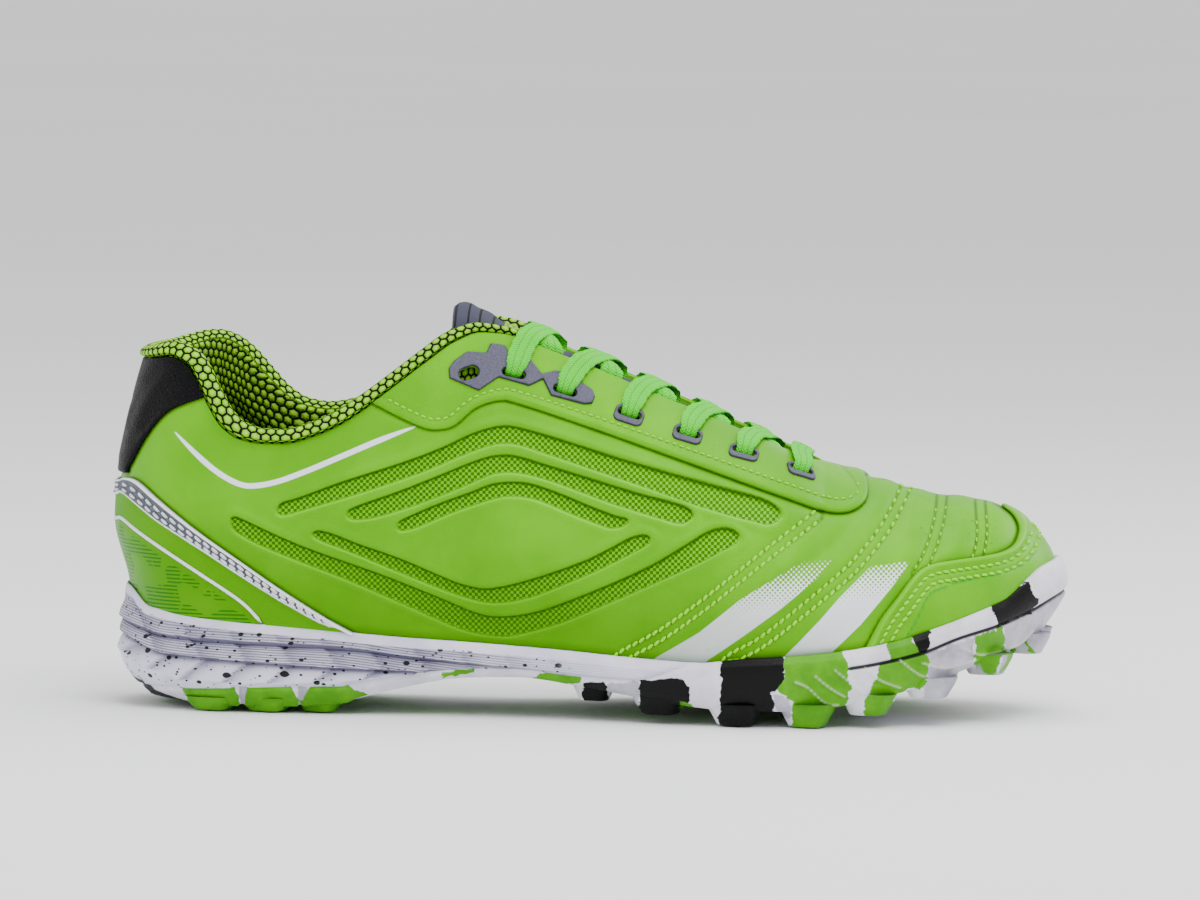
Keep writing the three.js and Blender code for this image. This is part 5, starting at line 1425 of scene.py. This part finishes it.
def ribbon(C, ahead, way, narrow):
    """Flat woven ribbon along a path, a little cupped and uneven."""
    fine = np.linspace(0, len(C) - 1, 130)
    k = np.arange(len(C))
    take = lambda A: np.stack([np.interp(fine, k, A[:, i]) for i in range(3)], -1)
    C, ahead = take(C), take(ahead)
    for _ in range(3):
        C[1:-1] = .25 * C[:-2] + .5 * C[1:-1] + .25 * C[2:]
    way = np.interp(fine, k, way)
    along = unit(np.gradient(C, axis=0))
    normal = unit(np.cross(ahead, along))
    flip = np.sign(normal[:, 2:3])
    flip[flip == 0] = 1
    near_hole = way < -.86
    ref = normal[np.argmax(~near_hole)]
    normal = np.where(near_hole[:, None], unit(ref - (along @ ref)[:, None] * along), normal * flip)
    for _ in range(5):
        normal[1:-1] = unit(.25 * normal[:-2] + .5 * normal[1:-1] + .25 * normal[2:])
    across = unit(np.cross(along, normal))
    w = LACE_W * narrow(way) / 2
    a = np.linspace(0, 2 * np.pi, 24, endpoint=False)
    ca, sa = np.sign(np.cos(a)) * np.abs(np.cos(a))**.55, np.sign(np.sin(a)) * np.abs(np.sin(a))**.8
    s = np.concatenate([[0], np.cumsum(np.linalg.norm(np.diff(C, axis=0), axis=1))])
    wave = 1 + .035 * np.sin(s * 1.9) + .02 * np.sin(s * 4.7)
    cup = .28 * (1 - ca**2)[None] * np.sin(s * .35)[:, None]
    P = (C[:, None] + across[:, None] * (w * wave)[:, None, None] * ca[None, :, None]
         + normal[:, None] * (LACE_T / 2 * sa[None] * (1 - .35 * ca[None]**2) + cup)[..., None])
    T = grid_tris(len(C), len(a), closed_cols=True)
    m = len(a)
    T = np.vstack([T, fan(0, m), fan((len(C) - 1) * m, m, True)])
    shape = (len(C), m)
    return (P.reshape(-1, 3), T, np.broadcast_to(ca[None] * LACE_W / 2, shape).ravel(),
            np.broadcast_to(s[:, None], shape).ravel())


def narrow_at_holes(way):
    return .72 + .28 * smooth(way, -.98, -.6) - .22 * smooth(way, .85, 1.05)


LACED = HOLES[1:]
for i in range(5):
    parts = []
    pairs = [(LACED[i], LACED[i + 1], -1, 1), (LACED[i], LACED[i + 1], 1, -1)]
    for start, stop, side, over in pairs:
        parts.append(ribbon(*strand(start, stop, side, over, 1.25 if i < 2 else 1.8), narrow_at_holes))
    if i == 4:
        way = np.concatenate([[-1.02, -1.01, -.99], np.linspace(-.9, 1.9, 60), [1.99, 2.01, 2.02]])
        off = np.interp(way, [-1.02, -1.01, -.99, -.9, -.72, -.3, 1.3, 1.72, 1.9, 1.99, 2.01, 2.02],
                        [-3.2, -1.5, .6, 2.4, 2.9, 2.6, 2.6, 2.9, 2.4, .6, -1.5, -3.2])
        x = np.full(len(way), LACED[5] * L)
        C = lace_center(x, way, -1, off)
        ahead = lace_center(x + 1, way, -1, off) - lace_center(x - 1, way, -1, off)
        bar_width = lambda w: .72 + .28 * smooth(w, -.98, -.6) - .28 * smooth(w, 1.6, 1.98)
        parts.append(ribbon(C, ahead, way, bar_width))
    P, T = join([(p, t) for p, t, _, _ in parts])
    make("lace_woven_%d" % (i + 1), P, T, LACE, ("lace_crossing_%d" % (i + 1),), "lace_cord",
         {"across": np.concatenate([q[2] for q in parts]), "along": np.concatenate([q[3] for q in parts])})


# Insole
def insole():
    """Sock liner: a flat bed with round edges, cupped at the heel."""
    inset = INSET + WALL + .9
    us = np.linspace(.004, .996, 90)
    ys = np.linspace(-1, 1, 25)
    (x, a), (_, b) = plan_point(us, -1, inset), plan_point(us, 1, inset)
    y = (a + b)[:, None] / 2 + (b - a)[:, None] / 2 * ys
    low = sole_top(x)[:, None] + 0 * y
    cup = 1.6 * np.abs(ys)**4 * smooth(x, 120, 40)[:, None]
    high = low + 4 - 1.0 * (np.abs(ys)**10)[None] + cup
    top = np.stack([x[:, None] + 0 * y, y, high], -1).reshape(-1, 3)
    bottom = np.stack([x[:, None] + 0 * y, y, low + .4], -1).reshape(-1, 3)
    T = grid_tris(90, 25)
    n = len(top)
    return np.vstack([top, bottom]), np.vstack([T, T[:, ::-1] + n, border_wall(T, n)])


make("insole_sock", *insole(), SOCK, ("insole",), "sock", padded=.3)


# Sole
def wall_inset(x, up):
    places = np.array([[at, c(up)] for at, c in zip(SOLE_WALL_AT, inset_curves)])
    return col(places, 1)(x / L)


def sole_surface():
    ns, nw, nb, nt = 330, 84, 24, 6
    us = np.linspace(0, 1, ns + 1)
    x0 = plan_point(us, -1, 0)[0]
    ups = np.linspace(0, 1, nw + 1)
    lip = 4.6 * smooth(x0, 11, 3) + 4.4 * smooth(x0, 269, 282)
    walls, runs = {}, {}
    for side in (-1, 1):
        cols = []
        for up in ups:
            x, y = plan_point(us, side, wall_inset(x0, up))
            cols.append(np.stack([x, y, sole_tread(x) + (sole_top(x) + lip - sole_tread(x)) * up], -1))
        walls[side] = np.stack(cols, 1)
        steps = np.linalg.norm(np.diff(walls[side][:, nw // 2], axis=0), axis=1)
        runs[side] = side * np.concatenate([[0], np.cumsum(steps)])
    lat, med = walls[-1], walls[1]
    tb, tt = np.linspace(0, 1, nb + 1)[1:-1], np.linspace(0, 1, nt + 1)[1:-1]
    bottom = lat[:, 0, None] + (med[:, 0] - lat[:, 0])[:, None] * tb[None, :, None]
    top = med[:, -1, None] + (lat[:, -1] - med[:, -1])[:, None] * tt[None, :, None]
    top[..., 2] -= .35 + lip[:, None]
    loop = np.concatenate([bottom, med, top, lat[:, ::-1]], 1)
    kind = np.concatenate([np.zeros(nb - 1), ups, np.full(nt - 1, 2.0), ups[::-1]])
    wall_ = np.concatenate([np.zeros(nb - 1), np.ones(nw + 1), np.zeros(nt - 1), np.ones(nw + 1)])
    nr, nc = loop.shape[:2]
    run = np.where(np.arange(nc)[None] < nb + nw + nt // 2, runs[1][:, None], runs[-1][:, None])
    crown = sole_top(x0)[:, None] + lip[:, None] - loop[..., 2]
    P = loop.reshape(-1, 3)
    T = grid_tris(nr, nc, closed_cols=True)
    first, T = weld(P, T)
    tags = np.stack([*(np.broadcast_to(a, (nr, nc)) for a in (kind, wall_)), run, crown], -1)
    tags = tags.reshape(-1, 4)[first]
    P = P[first]
    N = normals_of(P, T)
    if ((P - CORE_SOLE) * N).sum() < 0:
        N, T = -N, T[:, ::-1]
    return P, N, tags, T


P, N, tags, T = sole_surface()
x, z = P[:, 0], P[:, 2]
on_wall = tags[:, 1] > .5
crown = tags[:, 3]
crest = [col(np.array(c), 1) for c in (FOAM_CREST_A, FOAM_CREST_B, FOAM_CREST_C)]
ca_, cb_, cc_ = (c(x) for c in crest)
fade_x = smooth(x, 150, 95)
foam_shade, shape, lined = np.zeros(len(P)), np.zeros(len(P)), np.zeros(len(P))
leans = (((x + .6 * z) / 13.2) % 1, ((x - 1.15 * z) / 13.4) % 1)
for i, (hi_, lo_, depth) in enumerate(((z + crown - 2.8, ca_, 1.0), (ca_, cb_, 1.5), (cb_, cc_, 1.8))):
    # every tier falls in sharply under the crest above it and swells out to its own crest
    t = (hi_ - z) / np.maximum(hi_ - lo_, .5)
    inside = (t > 0) & (t < 1)
    step = smooth(t * np.maximum(hi_ - lo_, .5), 0, .7 if i else 2.5)
    facet = leans[i == 2]
    turn = (facet - .5) * smooth(facet, 1, .93)
    shape += np.where(inside, -depth * step * (1 - t)**1.2 + (.9, 1.0, 2.3)[i] * turn * step, 0)
    # painted shade: darkest just under the crest above each tier, fading down the tier, and on one side of
    # each facet
    shade = np.exp(-(t * (hi_ - lo_) / 1.3)**2) * (i > 0) + .35 * smooth(facet, .55, .0) + .25 * (1 - t)
    foam_shade = np.where(inside, shade, foam_shade)
    lined = np.where(inside & (i < 2), smooth(t, 0, .1), lined)
joint_x = np.linspace(-30, MIDSOLE_FRONT, 60)
foam_area = np.vstack([np.stack([joint_x, sole_joint(joint_x)], -1), [[MIDSOLE_FRONT + 1, 200], [-30, 200]]])
is_foam = field(x, z, foam_area)
shape *= fade_x * on_wall * (is_foam < 0)
foam_shade, lined = (np.clip(a, 0, 1) * (.15 + .85 * fade_x) for a in (foam_shade, lined))
# rand and lower wall of the forefoot
cut_d, _ = line_dist(x, z, spline(RAND_GROOVE))
rib_d = np.minimum.reduce([line_dist(x, z, spline(r))[0] for r in TREAD_RIBS])
ridge = .6 * np.exp(-(rib_d / .7)**2) * (is_foam > 0)
relief = shape - 1.1 * np.exp(-(cut_d / .6)**2) + ridge
relief -= .8 * np.exp(-(is_foam / .6)**2) * on_wall * (x < 176)
relief += 1.9 * np.exp(-((z - 39) / 6)**2) * smooth(x, 268, 283)
# blocks at the heel's side stand a little proud
block = fields(x, z, TREAD_LIME[:3])
relief += .7 * smooth(-block, -.1, .5) * on_wall
lip = on_wall * smooth(tags[:, 0], .9, .97) * (1 - smooth(tags[:, 0], .985, 1.0))
relief += .25 * lip
outer = P + N * (relief * on_wall)[:, None]
scallop = .5 * np.sin(x * .9) * np.sin(P[:, 1] * .9)
outer[:, 2] += np.where(on_wall, 0, scallop * .6)

TREAD_FIELDS = {"lime": TREAD_LIME, "black": TREAD_BLACK, "grey": TREAD_GREY}
sole_marks = {"level": z - ca_, "run": tags[:, 2], "foam_shade": foam_shade}
sole_marks.update({key: fields(x, z, areas) for key, areas in TREAD_FIELDS.items()})
sole_marks.update({"cut": cut_d, "rib": rib_d, "under": ~on_wall, "crown": crown, "lined": lined})
X = np.hstack([outer, N, np.stack([x, z, *sole_marks.values()], -1)])
X, T, s = split(X, T, is_foam, 0.0)
centre_s = s[T].mean(1)
SOLE_PARTS = (("midsole_foam", centre_s < 0, FOAM_LOOK, "midsole", "foam"),
              ("outsole_rubber", centre_s >= 0, TREAD, "outsole", "tread_rubber"))
for name, chosen, mat, node, slot_ in SOLE_PARTS:
    used, inv = np.unique(T[chosen], return_inverse=True)
    Y = X[used]
    attrs = {key: Y[:, 8 + i] for i, key in enumerate(sole_marks)}
    if node == "midsole":
        attrs["black"] = fields(Y[:, 6], Y[:, 7], [HEEL_TIP])
    make(name, Y[:, :3], inv.reshape(-1, 3), mat, (node,), slot_, attrs)


def studs():
    """Rows of rounded square studs, turned outwards a little."""
    parts = []
    a = np.linspace(0, 2 * np.pi, 28, endpoint=False)
    ca, sa = np.cos(a), np.sin(a)
    sq = (np.abs(ca)**3.2 + np.abs(sa)**3.2) ** (-1 / 3.2)
    for at, count, span, size, stands in STUD_ROWS:
        x = at * L
        root = float(sole_tread(x)) + 2.0
        foot = 0.0 if stands else float(sole_tread(x)) - 4.3
        closing = round_end((x - SOLE_BACK) / HEEL_ROUND, 2.3) * round_end((L - x) / TOE_ROUND, 2.25)
        reach = float(half(at) * B * span * closing) - (2.2 if at < .3 else .8)
        for k in range(count):
            y = float(centre(at) * B) + reach * (2 * k / (count - 1) - 1)
            turn = np.radians(18 * (2 * k / (count - 1) - 1))
            rings = []
            for t, r in ((0, 1.22), (.3, 1.12), (.84, .84), (.95, .78), (1, .7), (1, .3), (.93, .12)):
                rr = 6.1 * size * r * sq
                px, py = rr * ca * 1.12, rr * sa * .92
                rings.append(np.stack([x + px * np.cos(turn) - py * np.sin(turn),
                                       y + px * np.sin(turn) + py * np.cos(turn),
                                       np.full(len(a), root + (foot - root) * t)], -1))
            R = np.stack(rings, 0)
            T = grid_tris(len(rings), len(a), closed_cols=True)
            m = len(a)
            T = np.vstack([T, fan((len(rings) - 1) * m, m, True), fan(0, m)])
            Pk = R.reshape(-1, 3)
            if ((Pk - Pk.mean(0)) * normals_of(Pk, T)).sum() < 0:
                T = T[:, ::-1]
            parts.append((Pk, T))
    return join(parts)


P, T = studs()
far = np.full(len(P), 9.0)
stud_marks = {key: fields(P[:, 0], P[:, 2], areas) for key, areas in TREAD_FIELDS.items()}
stud_marks.update({"cut": far, "rib": far, "under": np.abs(P[:, 1]) < 24})
make("tread_studs", P, T, TREAD, (), "tread_rubber", stud_marks)


# Floor, light, camera
def pale(name, color, scale):
    m = Look(name, .8)
    tone = m.noise(scale, 2, .5)
    return m.done(m.mix(m.ramp(tone, .3, .7), color, tuple(np.minimum(np.array(color) * 1.02, 1))), .8)


bpy.ops.mesh.primitive_grid_add(x_subdivisions=2, y_subdivisions=2, size=14, location=(0, 0, -.0004))
floor = bpy.context.object
floor.name = "floor"
floor.data.materials.append(pale("floor_paper", (.86, .86, .87, 1), .002))

world = bpy.data.worlds.new("studio")
bpy.context.scene.world = world
world.use_nodes = True
world.node_tree.nodes["Background"].inputs[0].default_value = (1, 1, 1, 1)
world.node_tree.nodes["Background"].inputs[1].default_value = 1.08


def lamp(name, place, target, size, watts):
    data = bpy.data.lights.new(name, "AREA")
    data.shape, data.size, data.size_y, data.energy = "RECTANGLE", size[0], size[1], watts
    o = bpy.data.objects.new(name, data)
    bpy.context.scene.collection.objects.link(o)
    o.location = place
    o.rotation_mode = "QUATERNION"
    o.rotation_quaternion = (Vector(target) - Vector(place)).to_track_quat("-Z", "Y")
    return o


lamp("key", (.3, -.7, 1.1), (.02, 0, .05), (.7, .6), 11)
lamp("top", (.1, .05, 1.3), (0, 0, .05), (1.0, .7), 10)
lamp("rim", (.9, .5, .6), (.05, 0, .05), (.5, .7), 5)
lamp("fill", (-1.1, -.5, .35), (0, 0, .06), (.8, .8), 3)

# The camera's azimuth, elevation and roll, and its distance from the shoe's middle in millimetres.
A, E, R, D = np.radians(-4.0), np.radians(5.0), np.radians(.69), 3000.0
RIGHT = np.array([np.cos(A), -np.sin(A), 0])
FWD = np.array([np.sin(A) * np.cos(E), np.cos(A) * np.cos(E), -np.sin(E)])
UP = np.array([np.sin(A) * np.sin(E), np.cos(A) * np.sin(E), np.cos(E)])
right, up_ = RIGHT * np.cos(R) + UP * np.sin(R), -RIGHT * np.sin(R) + UP * np.cos(R)
cam = bpy.data.objects.new("camera", bpy.data.cameras.new("camera"))
bpy.context.scene.collection.objects.link(cam)
eye = to_row(np.array([L / 2, 0, 50.0]) - FWD * D)
cam.matrix_world = Matrix([(right[0], up_[0], -FWD[0], eye[0]), (right[1], up_[1], -FWD[1], eye[1]),
                           (right[2], up_[2], -FWD[2], eye[2]), (0, 0, 0, 1)])
cam.data.lens, cam.data.sensor_width = 300, 36
cam.data.shift_x, cam.data.shift_y = .01103, .0759
cam.data.clip_start, cam.data.clip_end = .1, 30
bpy.context.scene.camera = cam
